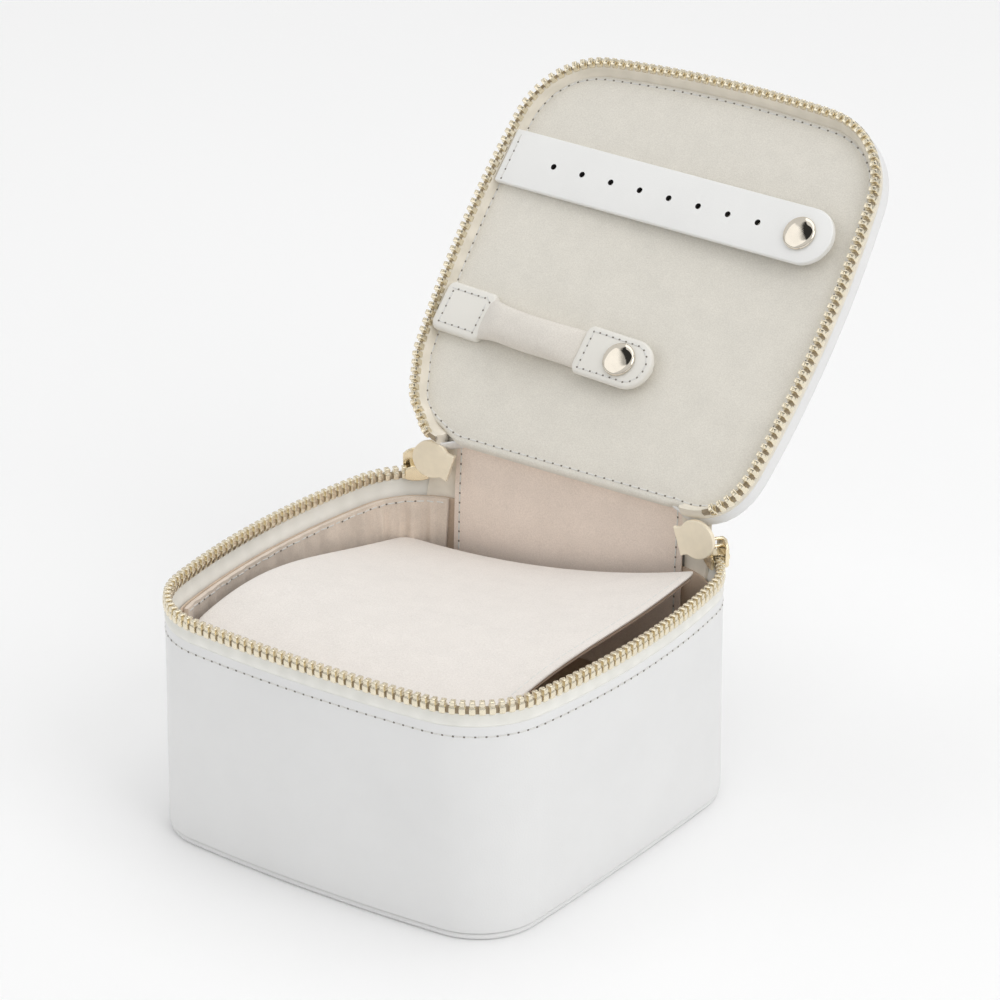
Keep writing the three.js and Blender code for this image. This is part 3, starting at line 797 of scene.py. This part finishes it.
def flap_edge(v, side):
    """The flap's left or right edge at a share of the way from front to back."""
    length = FLAP["back"] - FLAP["front"]
    front, back = v * length + 0.4, (1 - v) * length + 0.4
    if side < 0:
        return FLAP["left"] + corner_inset(front, 12) + corner_inset(back, 5)
    return FLAP["right"] - corner_inset(front, 12) - corner_inset(back, 3)


def flap_point(x, v, lift):
    u = (x - FLAP["left"]) / (FLAP["right"] - FLAP["left"])
    return (x, FLAP["front"] + v * (FLAP["back"] - FLAP["front"]), flap_height(u, v) + lift)


def flap_layer(low, high, shrink, rows=40, columns=28):
    """A padded leaf between two heights off the flap's middle surface, with soft rounded edges."""
    sections = []
    for v in np.concatenate([[0.004, 0.012], np.linspace(0.03, 0.97, rows), [0.988, 0.996]]):
        left, right = flap_edge(v, -1) + shrink, flap_edge(v, 1) - shrink
        end = min(1.0, math.sqrt(max(0.0, min(v, 1 - v) - 0.002) / 0.022))
        top, bottom = [], []
        for s in 0.5 - 0.5 * np.cos(np.linspace(0, math.pi, columns + 1)):
            x = left + (right - left) * s
            edge = min(1.0, math.sqrt(min(s, 1 - s) * (right - left) / 1.4)) * end
            middle = (low + high) / 2
            half = (high - low) / 2 * (0.35 + 0.65 * edge)
            top.append(flap_point(x, v, middle + half))
            bottom.append(flap_point(x, v, middle - half))
        sections.append(top + bottom[::-1])
    return loft(sections)


def inner_flap():
    face = add("flap_face", flap_layer(0.0, 1.25, 0.0), SUEDE_FLAP, "inner_flap", crease=60,
               stands_for=["inner_flap_face"])
    # The backing's brown is painted shade under the flap.
    backing = add("flap_backing", flap_layer(-1.2, -0.1, 0.5), SUEDE_BACKING_SHADED, "inner_flap", crease=60,
                  stands_for=["inner_flap_backing"])
    right = [flap_point(flap_edge(v, 1) - 2.2, v, 1.2) for v in np.linspace(0.08, 0.96, 60)]
    stitch_row("flap_stitches", right, [(0, 0, 1)] * len(right), "inner_flap", holes=SUEDE_FLAP)


# ---- Lid ----

LID_BACK_EDGE = HINGE.y + 1.2
# The soft lid isn't quite the zip's shape: the direction, spread in degrees and size of each pull outwards.
RIGHT_PULL = (54, 46, 3.8)
SHELL_PULLS = [RIGHT_PULL, (160, 30, -1.6), (106, 22, 2.2)]
PAD_PULLS = [RIGHT_PULL, (160, 30, -1.4), (270, 60, -1.2)]


def pulled(rows, pulls):
    """Rows moved along their normals by soft bumps."""
    angle = np.degrees(np.arctan2(rows[:, 3], rows[:, 2])) % 360
    shift = np.zeros(len(rows))
    for middle, spread, most in pulls:
        near = np.clip(1 - np.abs(angle - middle) / spread, 0, 1)
        shift += most * near ** 2 * (3 - 2 * near)
    placed = rows.copy()
    placed[:, :2] += rows[:, 2:] * shift[:, None]
    return placed


def lid_ring(offset, z, back=LID_BACK_EDGE, pulls=SHELL_PULLS):
    """The lid's outline at an offset. Between the ends of the spine its back edge stays at `back`."""
    points = ring_points(pulled(with_back(stations(LID)), pulls), offset, z)
    along = np.clip((SPINE_HALF + 1.5 - np.abs(points[:, 0])) / 6, 0, 1)
    middle = (points[:, 1] > 0) * along
    points[:, 1] += (back - points[:, 1]) * middle
    return points


def lid_shell():
    """The lid's leather, folded over a board: a shallow tray with a soft outer edge."""
    edge = LID_TOP - 5
    levels = [(-0.2, LID_TOP - 1.1, -0.8), (-0.2, edge + 0.4, -0.8), (0.1, edge, -0.6), (0.6, edge, -0.2),
              (0.8, edge + 0.4, 0), (0.95, LID_TOP - 2.4, 0), (0.85, LID_TOP - 1.3, 0), (0.4, LID_TOP - 0.5, -0.4),
              (-0.6, LID_TOP, -1.2), (-3, LID_TOP + 0.12, -3.4)]
    rings = [lid_ring(offset, z, LID_BACK_EDGE + push) for offset, z, push in levels]
    rings += [shrunk(rings[-1], share, LID_TOP + 0.2) for share in (0.8, 0.5, 0.2)]
    shape = loft(rings)
    add("lid_shell", shape, WHITE, "lid", LID_OPEN, crease=60, stands_for=["lid_leather"])


def lid_pad():
    """The lid's padded lining, quilted down by its row of stitches near the edge."""
    z = LINING_Z
    levels = [(-2.2, z + 4.4, -1.6), (-1.7, z + 3.6, 0.2), (-1.6, z + 2.2, 0.7), (-1.5, z + 1.0, 0.7),
              (-1.7, z + 0.3, 0.3), (-2.1, z + 0.02, -0.4), (-2.7, z + 0.2, -1.4), (-3.3, z - 0.02, -2.2),
              (-4.4, z - 0.22, -3.4), (-7, z - 0.3, -6)]
    rings = [lid_ring(offset, height, LID_BACK_EDGE + push, PAD_PULLS) for offset, height, push in levels]
    rings += [shrunk(rings[-1], share, z - 0.3) for share in (0.85, 0.6, 0.35, 0.1)]
    shape = loft(rings)
    pad = add("lid_pad", shape, SUEDE_LID, "lid", LID_OPEN, crease=70, stands_for=["lid_lining"])
    points = lid_ring(-2.7, z + 0.12, LID_BACK_EDGE - 1.4, PAD_PULLS)
    normals = np.tile((0.0, 0.0, -1.0), (len(points), 1))
    stitch_row("lid_stitches", np.vstack([points, points[:1]]), np.vstack([normals, normals[:1]]), "lid", LID_OPEN)


def lid_filling():
    """Board and foam between the lid's leather and its lining, seen only at the edge."""
    low, high = LINING_Z + 1.3, LID_TOP - 1.4
    shape = loft([lid_ring(-2.4, low, LID_BACK_EDGE - 2), lid_ring(-2.4, high, LID_BACK_EDGE - 2)])
    add("lid_filling", shape, HIDDEN_BOARD, "lid", LID_OPEN, stands_for=["lid_foam_pad", "lid_board"])


def lid_tape():
    """The lid's tape: it covers the teeth's legs on the inside, and slopes from there in behind the lining."""
    rows = pulled(stations(LID, LID_ZIP_START - 5), SHELL_PULLS)
    outer = [(0.3, 1.3), (0.6, 2.2), (0.7, 3.0), (0.65, 3.8), (0.3, 4.4), (-0.5, 4.7), (-0.55, 6.2)]
    inner = [(-1.3, 6.2), (-4.0, 4.8), (-4.0, 4.2), (-2.0, 2.75), (-1.5, 1.8), (-1.15, 0.75), (-0.3, 0.4)]
    sections = along_path(rows, outer + inner, LID_CHAIN_Z)
    add("lid_tape", loft(sections), LID_TAPE, "lid", LID_OPEN, crease=70, stands_for=["lid_zip_tape"])
    # A dark strip under the lid's teeth: painted shade between them.
    shade_section = [(offset, -rise) for offset, rise in GAP_SHADE_SECTION]
    shade_strip = loft(along_path(rows[:-RIGHT_END_ROWS], shade_section, LID_CHAIN_Z))
    add("lid_gap_shade", shade_strip, GAP_SHADE, "lid", LID_OPEN, crease=70)


def lid_chain():
    """The lid's teeth. On the right they end sooner, where the corner comes down to the slider."""
    rows = pulled(stations(LID, LID_ZIP_START), SHELL_PULLS)[:-RIGHT_END_ROWS]
    points = ring_points(rows, 0, LID_CHAIN_Z)
    normals = np.column_stack([rows[:, 2], rows[:, 3], np.zeros(len(rows))])
    chain("lid_chain", points, normals, "lid", place=LID_OPEN, flip=-1,
          stands_for=["lid_zip_teeth"])


# ---- Earring strap and ring bar ----

STRAP = {"left": -55.5, "right": 51.5, "half": 8.0, "thick": 1.8, "y": HINGE.y - 77.9, "snap": 41.9}
STRAP_LEAN = math.radians(1.5)  # off the lining, from its sewn left end
STRAP_TURN = math.radians(1.6)  # round on the lining
HOLES = {"count": 8, "first": -39.2, "pitch": 9.65, "radius": 0.85}
BAR = {"anchor": -54.8, "left": -41.0, "right": -6.0, "tab": 16.0, "half": 6.5, "thick": 7.2, "snap": 6.0}
BAR_Y = HINGE.y - 31.2
BAR_TURN = math.radians(2.7)
BAR_TAB_DROP = 2.6


def on_lining(y, z, turn, lean=0.0):
    """A place on the open lid's lining, turned round on it and leaned off it."""
    stand = Matrix.Translation((0, y, z))
    return LID_OPEN @ stand @ Matrix.Rotation(turn, 4, "Z") @ Matrix.Rotation(lean, 4, "Y")


STRAP_PLACE = on_lining(STRAP["y"], LINING_Z - 0.5 + STRAP["left"] * math.sin(STRAP_LEAN), STRAP_TURN, STRAP_LEAN)
BAR_PLACE = on_lining(BAR_Y, LINING_Z, BAR_TURN)


def band_section(x, half, low, high, soft=0.45):
    """A flat band's section across y at x, with rounded edges."""
    ring = []
    for sy, sz, first in ((1, 1, 0), (-1, 1, 90), (-1, -1, 180), (1, -1, 270)):
        for turn in (0, 30, 60, 90):
            angle = math.radians(first + turn)
            middle = (low + high) / 2
            tall = (high - low) / 2
            ring.append((x, sy * (half - soft) + soft * math.cos(angle),
                         middle + sz * (tall - soft) + soft * math.sin(angle)))
    return ring


def tongue(left, right, half, low, high, round_left, round_right, soft=0.45, steps=40):
    """A flat tongue along x whose ends are rounded by the given radii."""
    angles = np.linspace(0, math.pi / 2, 12)
    start = [left + 0.02 + round_left * (1 - math.cos(a)) for a in angles]
    finish = [right - 0.02 - round_right * (1 - math.cos(a)) for a in angles[::-1]]
    middle = list(np.linspace(start[-1], finish[0], steps)[1:-1])
    sections = []
    for x in start + middle + finish:
        width = half - corner_inset(x - left, round_left) - corner_inset(right - x, round_right)
        width = max(width, soft + 0.05)
        sections.append(band_section(x, width, low, high, soft))
    return loft(sections)


def cut_holes(piece, places, radius, low, high, material):
    """Punches round holes down through a piece, with their walls in another material; a dark one there paints the
    shade inside the holes.
    """
    piece.data.materials.append(material)
    shapes = [moved(lathe([(0, high), (radius, high), (radius, low), (0, low)], 20), Matrix.Translation((x, y, 0)))
              for x, y in places]
    cutter_mesh = bpy.data.meshes.new("cutter")
    points, faces = joined(*shapes)
    cutter_mesh.from_pydata([STRAP_PLACE @ Vector(p) * MM for p in points], [], faces)
    cutter_mesh.materials.append(material)
    cutter = bpy.data.objects.new("cutter", cutter_mesh)
    bpy.context.scene.collection.objects.link(cutter)
    cut = piece.modifiers.new("holes", "BOOLEAN")
    cut.object = cutter
    cut.solver = "EXACT"
    cut.material_mode = "TRANSFER"
    bpy.context.view_layer.update()
    result = bpy.data.meshes.new_from_object(piece.evaluated_get(bpy.context.evaluated_depsgraph_get()))
    piece.modifiers.clear()
    piece.data = result
    bpy.data.objects.remove(cutter)


def snap_cap(name, x, z, place, body, node):
    """A domed ring-snap cap with a rolled rim, seen from the lid's inside."""
    profile = [(0, z - 1.3), (1.5, z - 1.28), (2.8, z - 1.22), (3.7, z - 1.1), (4.2, z - 0.96), (4.5, z - 0.8),
               (4.68, z - 0.55), (4.7, z - 0.3), (4.6, z - 0.05), (4.2, z), (0, z)]
    shape = moved(lathe(profile, 56), Matrix.Translation((x, 0, 0)))
    add(name, shape, SNAP, body, place, crease=50, stands_for=[node])


def snap_back(name, x, z, place, body, node):
    """The socket behind a strap, or the stud on the lining, with its turned ridges."""
    profile = [(0, z + 0.3), (2.4, z + 0.3), (2.4, z + 1.1), (2.7, z + 1.2), (3.5, z + 1.15), (3.8, z + 0.9),
               (4.0, z + 0.3), (3.9, z), (0, z)]
    shape = moved(lathe(profile, 40), Matrix.Translation((x, 0, 0)))
    add(name, shape, SNAP, body, place, crease=50, stands_for=[node])


def snap_stud(name, x, y, node):
    top = LINING_Z - 0.3
    profile = [(0, top - 1.4), (1.5, top - 1.38), (1.95, top - 1.1), (1.7, top - 0.8), (1.9, top - 0.5),
               (3.7, top - 0.42), (4.0, top - 0.2), (3.9, top), (0, top)]
    shape = moved(lathe(profile, 40), Matrix.Translation((x, y, 0)))
    add(name, shape, SNAP, "lid", LID_OPEN, crease=50, stands_for=[node])


def earring_strap():
    face = -STRAP["thick"]
    shape = tongue(STRAP["left"], STRAP["right"], STRAP["half"], face, 0, 0.4, STRAP["half"])
    strap = add("strap_leather", shape, STRAP_WHITE, None, STRAP_PLACE, crease=50,
                stands_for=["earring_strap"])
    places = [(HOLES["first"] + HOLES["pitch"] * i, 0) for i in range(HOLES["count"])]
    # The holes' near-black walls are painted shade.
    cut_holes(strap, places, HOLES["radius"], face - 1, 1, PUNCHED_HOLE_SHADE)
    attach(strap, "earring_strap")
    snap_cap("strap_snap_cap", STRAP["snap"], face - 0.1, STRAP_PLACE, "earring_strap", "earring_snap_cap")
    snap_back("strap_snap_socket", STRAP["snap"], 0.3, STRAP_PLACE, "earring_strap", "earring_snap_socket")
    snap_stud("strap_stud", STRAP["snap"], STRAP["y"] + STRAP["snap"] * math.sin(STRAP_TURN),
              "earring_snap_stud")
    x = STRAP["left"] + 1.9
    points = [(x, y, face - 0.02) for y in np.linspace(-7, 7, 12)]
    stitch_row("strap_stitches", points, [(0, 0, -1)] * 12, "earring_strap", STRAP_PLACE)


def bar_anchor():
    thick = 3.0
    end = BAR["left"] + 1.8
    shape = tongue(BAR["anchor"], end, BAR["half"] + 0.6, -0.3 - thick, -0.3, 1.6, 1.6, soft=1.1)
    add("bar_anchor", shape, TAB_CREAM, "lid", BAR_PLACE, crease=50,
        stands_for=["ring_bar_anchor"])
    left, right, half, inset = BAR["anchor"] + 2.0, end - 2.0, BAR["half"] - 1.5, -0.3 - thick - 0.02
    corners = [(left, half), (left, -half), (right, -half), (right, half), (left, half)]
    points = [(x, y, inset) for x, y in corners]
    stitch_row("bar_anchor_stitches", points, [(0, 0, -1)] * 5, "lid", BAR_PLACE, pitch=2.3)


def bar_roll():
    """The padded ring roll: wide and flat under the anchor, a full slim waist, and drawn in under the tab."""
    length = BAR["right"] - BAR["left"]
    sections = []
    for t in np.linspace(0, 1, 36):
        swell = math.sin(min(1.0, t / 0.28) * math.pi / 2)
        tall = 0.27 + 0.73 * swell - 0.62 * max(0.0, (t - 0.66) / 0.34) ** 1.8
        wide = 0.98 - 0.2 * swell + 0.06 * max(0.0, (t - 0.7) / 0.3)
        x = BAR["left"] + length * t
        sag = 0.9 * math.sin(math.pi * t)
        ring = []
        for a in np.linspace(0, 2 * math.pi, 36, endpoint=False):
            y = math.copysign(abs(math.cos(a)) ** 0.8, math.cos(a)) * BAR["half"] * wide + sag
            z = (math.copysign(abs(math.sin(a)) ** 0.9, math.sin(a)) - 1) * BAR["thick"] / 2 * tall
            ring.append((x, y, z - 0.6))
        sections.append(ring)
    roll = add("bar_roll", loft(sections), SUEDE_ROLL, "ring_bar", BAR_PLACE, crease=70,
               stands_for=["ring_bar_roll"])


def bar_tab():
    high = -BAR_TAB_DROP
    low = high - 1.8
    left, right, half = BAR["right"] - 1.0, BAR["tab"] - 0.4, BAR["half"] + 0.5
    shape = tongue(left, right, half, low - 0.3, high, 1.8, 6.6, soft=0.95)
    add("bar_tab", shape, TAB_CREAM, "ring_bar", BAR_PLACE, crease=50,
        stands_for=["ring_bar_tab"])
    snap_cap("bar_snap_cap", BAR["snap"], low - 0.4, BAR_PLACE, "ring_bar", "ring_snap_cap")
    snap_back("bar_snap_socket", BAR["snap"], high + 0.3, BAR_PLACE, "ring_bar", "ring_snap_socket")
    snap_stud("bar_stud", BAR["snap"], BAR_Y + BAR["snap"] * math.sin(BAR_TURN), "ring_snap_stud")
    z = low - 0.32
    seam = half - 1.6
    tip = right - half + 0.1
    arc = [(tip + seam * math.cos(a), seam * math.sin(a), z) for a in np.linspace(-1.35, 1.35, 24)]
    outline = [(left + 1.9, seam, z), (left + 1.9, -seam, z)] + arc + [(left + 1.9, seam, z)]
    stitch_row("bar_tab_stitches", outline, [(0, 0, -1)] * len(outline), "ring_bar", BAR_PLACE, pitch=2.1)


# ---- Sliders and pull tabs ----

def arc_plate(inner, outer, low, high, span, taper=0.7, middle=PARK):
    """A curved plate about the left back corner's centre, drawn in at both ends."""
    sections = []
    for t in np.linspace(-1, 1, 17):
        angle = math.radians(middle + span * t)
        shrink = 1 - (1 - taper) * abs(t) ** 2.5
        centre_z, tall = (low + high) / 2, (high - low) / 2 * shrink
        soft = min(0.25, (outer - inner) * 0.4)
        ring = []
        for sr, sz, first in ((1, 1, 0), (-1, 1, 90), (-1, -1, 180), (1, -1, 270)):
            for turn in (0, 30, 60, 90):
                a = math.radians(first + turn)
                r = (inner + outer) / 2 + sr * ((outer - inner) / 2 - soft) + soft * math.cos(a)
                z = centre_z + sz * (tall - soft) + soft * math.sin(a)
                ring.append((r * math.cos(angle) - CORNER, r * math.sin(angle) + CORNER, z))
        sections.append(ring)
    return loft(sections)


def slider(name, side, node):
    face, back = RIM["radius"] + 1.55, RIM["radius"] - 1.55
    parts = [
        arc_plate(face, face + 0.9, CHAIN_Z - 2.4, CHAIN_Z + 5.6, SLIDER_SPAN, taper=0.6),
        arc_plate(face + 0.7, face + 1.2, CHAIN_Z + 0.4, CHAIN_Z + 2.6, SLIDER_SPAN - 1, taper=0.5),
        arc_plate(back - 0.7, back, CHAIN_Z - 2.4, CHAIN_Z + 1.85, SLIDER_SPAN, taper=0.7),
        arc_plate(back - 0.3, face + 0.5, CHAIN_Z + 1.45, CHAIN_Z + 1.85, SLIDER_SPAN - 4, taper=0.9),
    ]
    place = MIRROR if side > 0 else None
    add(name, joined(*parts), SLIDER_GOLD, f"{'right' if side > 0 else 'left'}_slider", place,
        stands_for=[node])


PULL = {"z": 70.6, "thick": 1.3, "radius": 5.4, "length": 6.0, "tail": 4.1, "waist": 3.9, "droop": 18.0}


def pull_place(side):
    """Where a tab stands: at its own joint, in line with that joint's axis."""
    joint = JOINTS[f"{'right' if side > 0 else 'left'}_pull_fold"]
    x, y, _ = to_mm(joint["pos_m"])
    turn = math.atan2(joint["axis"][1], joint["axis"][0])
    stand = Matrix.Translation((x, y, PULL["z"])) @ Matrix.Rotation(turn, 4, "Z")
    return stand @ MIRROR if side > 0 else stand


def pull_outline():
    """The tab's half width at each x, from the end of its tail round to the far side of its head."""
    radius, waist = PULL["radius"], PULL["waist"]
    neck = math.asin(waist / radius)
    neck_x = radius * math.cos(neck)
    rows = []
    for t in np.linspace(0, 1, 14):
        bend = neck_x + 1.2
        x = (1 - t) ** 2 * PULL["length"] + 2 * t * (1 - t) * bend + t * t * neck_x
        half = (1 - t) ** 2 * PULL["tail"] + 2 * t * (1 - t) * (waist - 0.2) + t * t * waist
        rows.append((x, half))
    for angle in np.linspace(neck, math.pi - 0.1, 34)[1:]:
        rows.append((radius * math.cos(angle), radius * math.sin(angle)))
    return rows


def pull_tab(name, side, node):
    """A bell-shaped plate with softened edges, its tail a little lower than its head."""
    half_thick, soft = PULL["thick"] / 2, 0.3
    sections = []
    for x, half in pull_outline():
        width = max(half, soft + 0.05)
        ring = []
        for sz, sy, first in ((1, 1, 0), (-1, 1, 90), (-1, -1, 180), (1, -1, 270)):
            for turn in (0, 45, 90):
                a = math.radians(first + turn)
                ring.append((x, sy * (half_thick - soft) + soft * math.sin(a),
                             sz * (width - soft) + soft * math.cos(a)))
        sections.append(ring)
    place = pull_place(side) @ Matrix.Rotation(math.radians(PULL["droop"]), 4, "Y")
    add(name, loft(sections), PLATE_GOLD, f"{'right' if side > 0 else 'left'}_pull", place,
        crease=20, stands_for=[node])


def bail(name, side):
    """The wire loop that ties a tab's head to its slider."""
    loop = [(2.6 * math.cos(a), 1.1 * math.sin(a), 0) for a in np.linspace(0, 2 * math.pi, 28, endpoint=False)]
    angle = math.radians(PARK)
    out = Vector((math.cos(angle), math.sin(angle), 0))
    middle = Vector((-CORNER, CORNER, CHAIN_Z + 4.6)) + out * (RIM["radius"] - 0.1)
    turn = Matrix.Translation(middle) @ Matrix.Rotation(angle, 4, "Z") @ Matrix.Rotation(math.radians(90), 4, "X")
    place = MIRROR @ turn if side > 0 else turn
    points = [Vector(p) for p in loop]
    sections = []
    for i, point in enumerate(points):
        ahead = (points[(i + 1) % len(points)] - points[i - 1]).normalized()
        side_way = ahead.cross(Vector((0, 0, 1)))
        sections.append([point + (side_way * math.cos(a) + Vector((0, 0, 1)) * math.sin(a)) * 0.45
                         for a in np.linspace(0, 2 * math.pi, 12, endpoint=False)])
    add(name, loft(sections, ring=True), SLIDER_GOLD, f"{'right' if side > 0 else 'left'}_pull", place)


# ---- Finishes on the frame's own nodes ----

def finish_nodes():
    """The pieces of the frame whose shapes stay as they are."""
    for node, material in (("base_wall_board", HIDDEN_BOARD), ("flap_hinge_strip", SUEDE),
                           ("left_end_stop", GOLD), ("right_end_stop", GOLD)):
        mesh = frame["nodes"][node].data
        mesh.materials.clear()
        mesh.materials.append(material)


# ---- Studio ----

CAMERA = {"azimuth": 35.88, "elevation": 24.24, "distance": 1178.2, "lens": 168.0, "aim": (17.21, 0.0, 92.47)}


def camera():
    azimuth, elevation = math.radians(CAMERA["azimuth"]), math.radians(CAMERA["elevation"])
    back = Vector((math.sin(azimuth) * math.cos(elevation), -math.cos(azimuth) * math.cos(elevation),
                   math.sin(elevation)))
    data = bpy.data.cameras.new("camera")
    data.lens = CAMERA["lens"]
    data.sensor_width = 36
    data.clip_end = 20
    eye = bpy.data.objects.new("camera", data)
    eye.location = (Vector(CAMERA["aim"]) + back * CAMERA["distance"]) * MM
    eye.rotation_euler = back.to_track_quat("Z", "Y").to_euler()
    bpy.context.scene.collection.objects.link(eye)
    bpy.context.scene.camera = eye


def softbox(name, place, aim, size, power, color=(1, 1, 1)):
    data = bpy.data.lights.new(name, "AREA")
    data.shape = "RECTANGLE"
    data.size, data.size_y = size
    data.energy = power
    data.color = color
    lamp = bpy.data.objects.new(name, data)
    lamp.location = place
    lamp.rotation_euler = (Vector(place) - Vector(aim)).to_track_quat("Z", "Y").to_euler()
    bpy.context.scene.collection.objects.link(lamp)


def studio():
    """A pale sweep and large soft lights, with a dim far side so that metal has something to reflect."""
    half = 3.0
    mesh = bpy.data.meshes.new("floor")
    mesh.from_pydata([(-half, -half, 0), (half, -half, 0), (half, half, 0), (-half, half, 0)], [], [(0, 1, 2, 3)])
    floor = bpy.data.objects.new("floor", mesh)
    bpy.context.scene.collection.objects.link(floor)
    pale = new_material("floor", (0.95, 0.95, 0.95), 0.9)
    n = Nodes(pale)
    n.color(n.ramp(n.noise(400, 2), [(0.3, (0.945, 0.945, 0.945)), (0.7, (0.955, 0.955, 0.955))]))
    mesh.materials.append(pale)
    dim_world()
    aim = (0, 0, 0.08)
    softbox("key", (1.5, -0.2, 1.3), aim, (1.2, 1.2), 8.2)
    softbox("fill", (-1.2, -1.2, 1.2), aim, (1.4, 1.4), 3.0)
    softbox("top", (0.0, 0.3, 1.7), aim, (1.6, 1.6), 6.5)


def dim_world():
    """An even pale surround, with a dark band low in front for the polished metal to reflect."""
    world = bpy.data.worlds.new("studio")
    bpy.context.scene.world = world
    world.use_nodes = True
    tree = world.node_tree
    direction = tree.nodes.new("ShaderNodeTexCoord").outputs["Generated"]
    patch = tree.nodes.new("ShaderNodeVectorMath")
    patch.operation = "DOT_PRODUCT"
    patch.inputs[1].default_value = (-0.24, -0.385, 0.89)
    tree.links.new(direction, patch.inputs[0])
    shadow = tree.nodes.new("ShaderNodeMapRange")
    for key, number in (("From Min", 0.945), ("From Max", 0.96), ("To Min", 1.0), ("To Max", 0.05)):
        shadow.inputs[key].default_value = number
    tree.links.new(patch.outputs["Value"], shadow.inputs["Value"])
    split = tree.nodes.new("ShaderNodeSeparateXYZ")
    tree.links.new(direction, split.inputs["Vector"])
    ramp = tree.nodes.new("ShaderNodeValToRGB")
    stops = [(0.0, 0.25), (0.52, 0.35), (0.6, 1.0), (1.0, 1.0)]
    while len(ramp.color_ramp.elements) < len(stops):
        ramp.color_ramp.elements.new(0.5)
    for element, (place, value) in zip(ramp.color_ramp.elements, stops):
        element.position = place
        element.color = (value, value, value, 1)
    lift = tree.nodes.new("ShaderNodeMapRange")
    lift.inputs["From Min"].default_value = -1
    tree.links.new(split.outputs["Z"], lift.inputs["Value"])
    tree.links.new(lift.outputs["Result"], ramp.inputs["Fac"])
    background = tree.nodes["Background"]
    background.inputs["Strength"].default_value = 0.76
    darkened = tree.nodes.new("ShaderNodeMix")
    darkened.data_type = "RGBA"
    darkened.blend_type = "MULTIPLY"
    darkened.inputs[0].default_value = 1.0
    tree.links.new(ramp.outputs["Color"], darkened.inputs[6])
    tree.links.new(shadow.outputs["Result"], darkened.inputs[7])
    tree.links.new(darkened.outputs[2], background.inputs["Color"])


# ---- Assembly ----

bpy.context.scene.view_settings.view_transform = "Standard"
camera()
studio()
base_shell()
base_bottom()
base_stitches()
base_lining()
floor_pad()
base_tape()
base_chain()
side_pocket()
lid_shell()
lid_pad()
lid_filling()
lid_tape()
lid_chain()
spine()
hinge_panel()
gusset("left_gusset", -1)
gusset("right_gusset", 1)
inner_flap()
earring_strap()
bar_anchor()
bar_roll()
bar_tab()
slider("left_slider_metal", -1, "left_slider")
slider("right_slider_metal", 1, "right_slider")
pull_tab("left_pull_metal", -1, "left_pull_tab")
pull_tab("right_pull_metal", 1, "right_pull_tab")
bail("left_bail", -1)
bail("right_bail", 1)
finish_nodes()
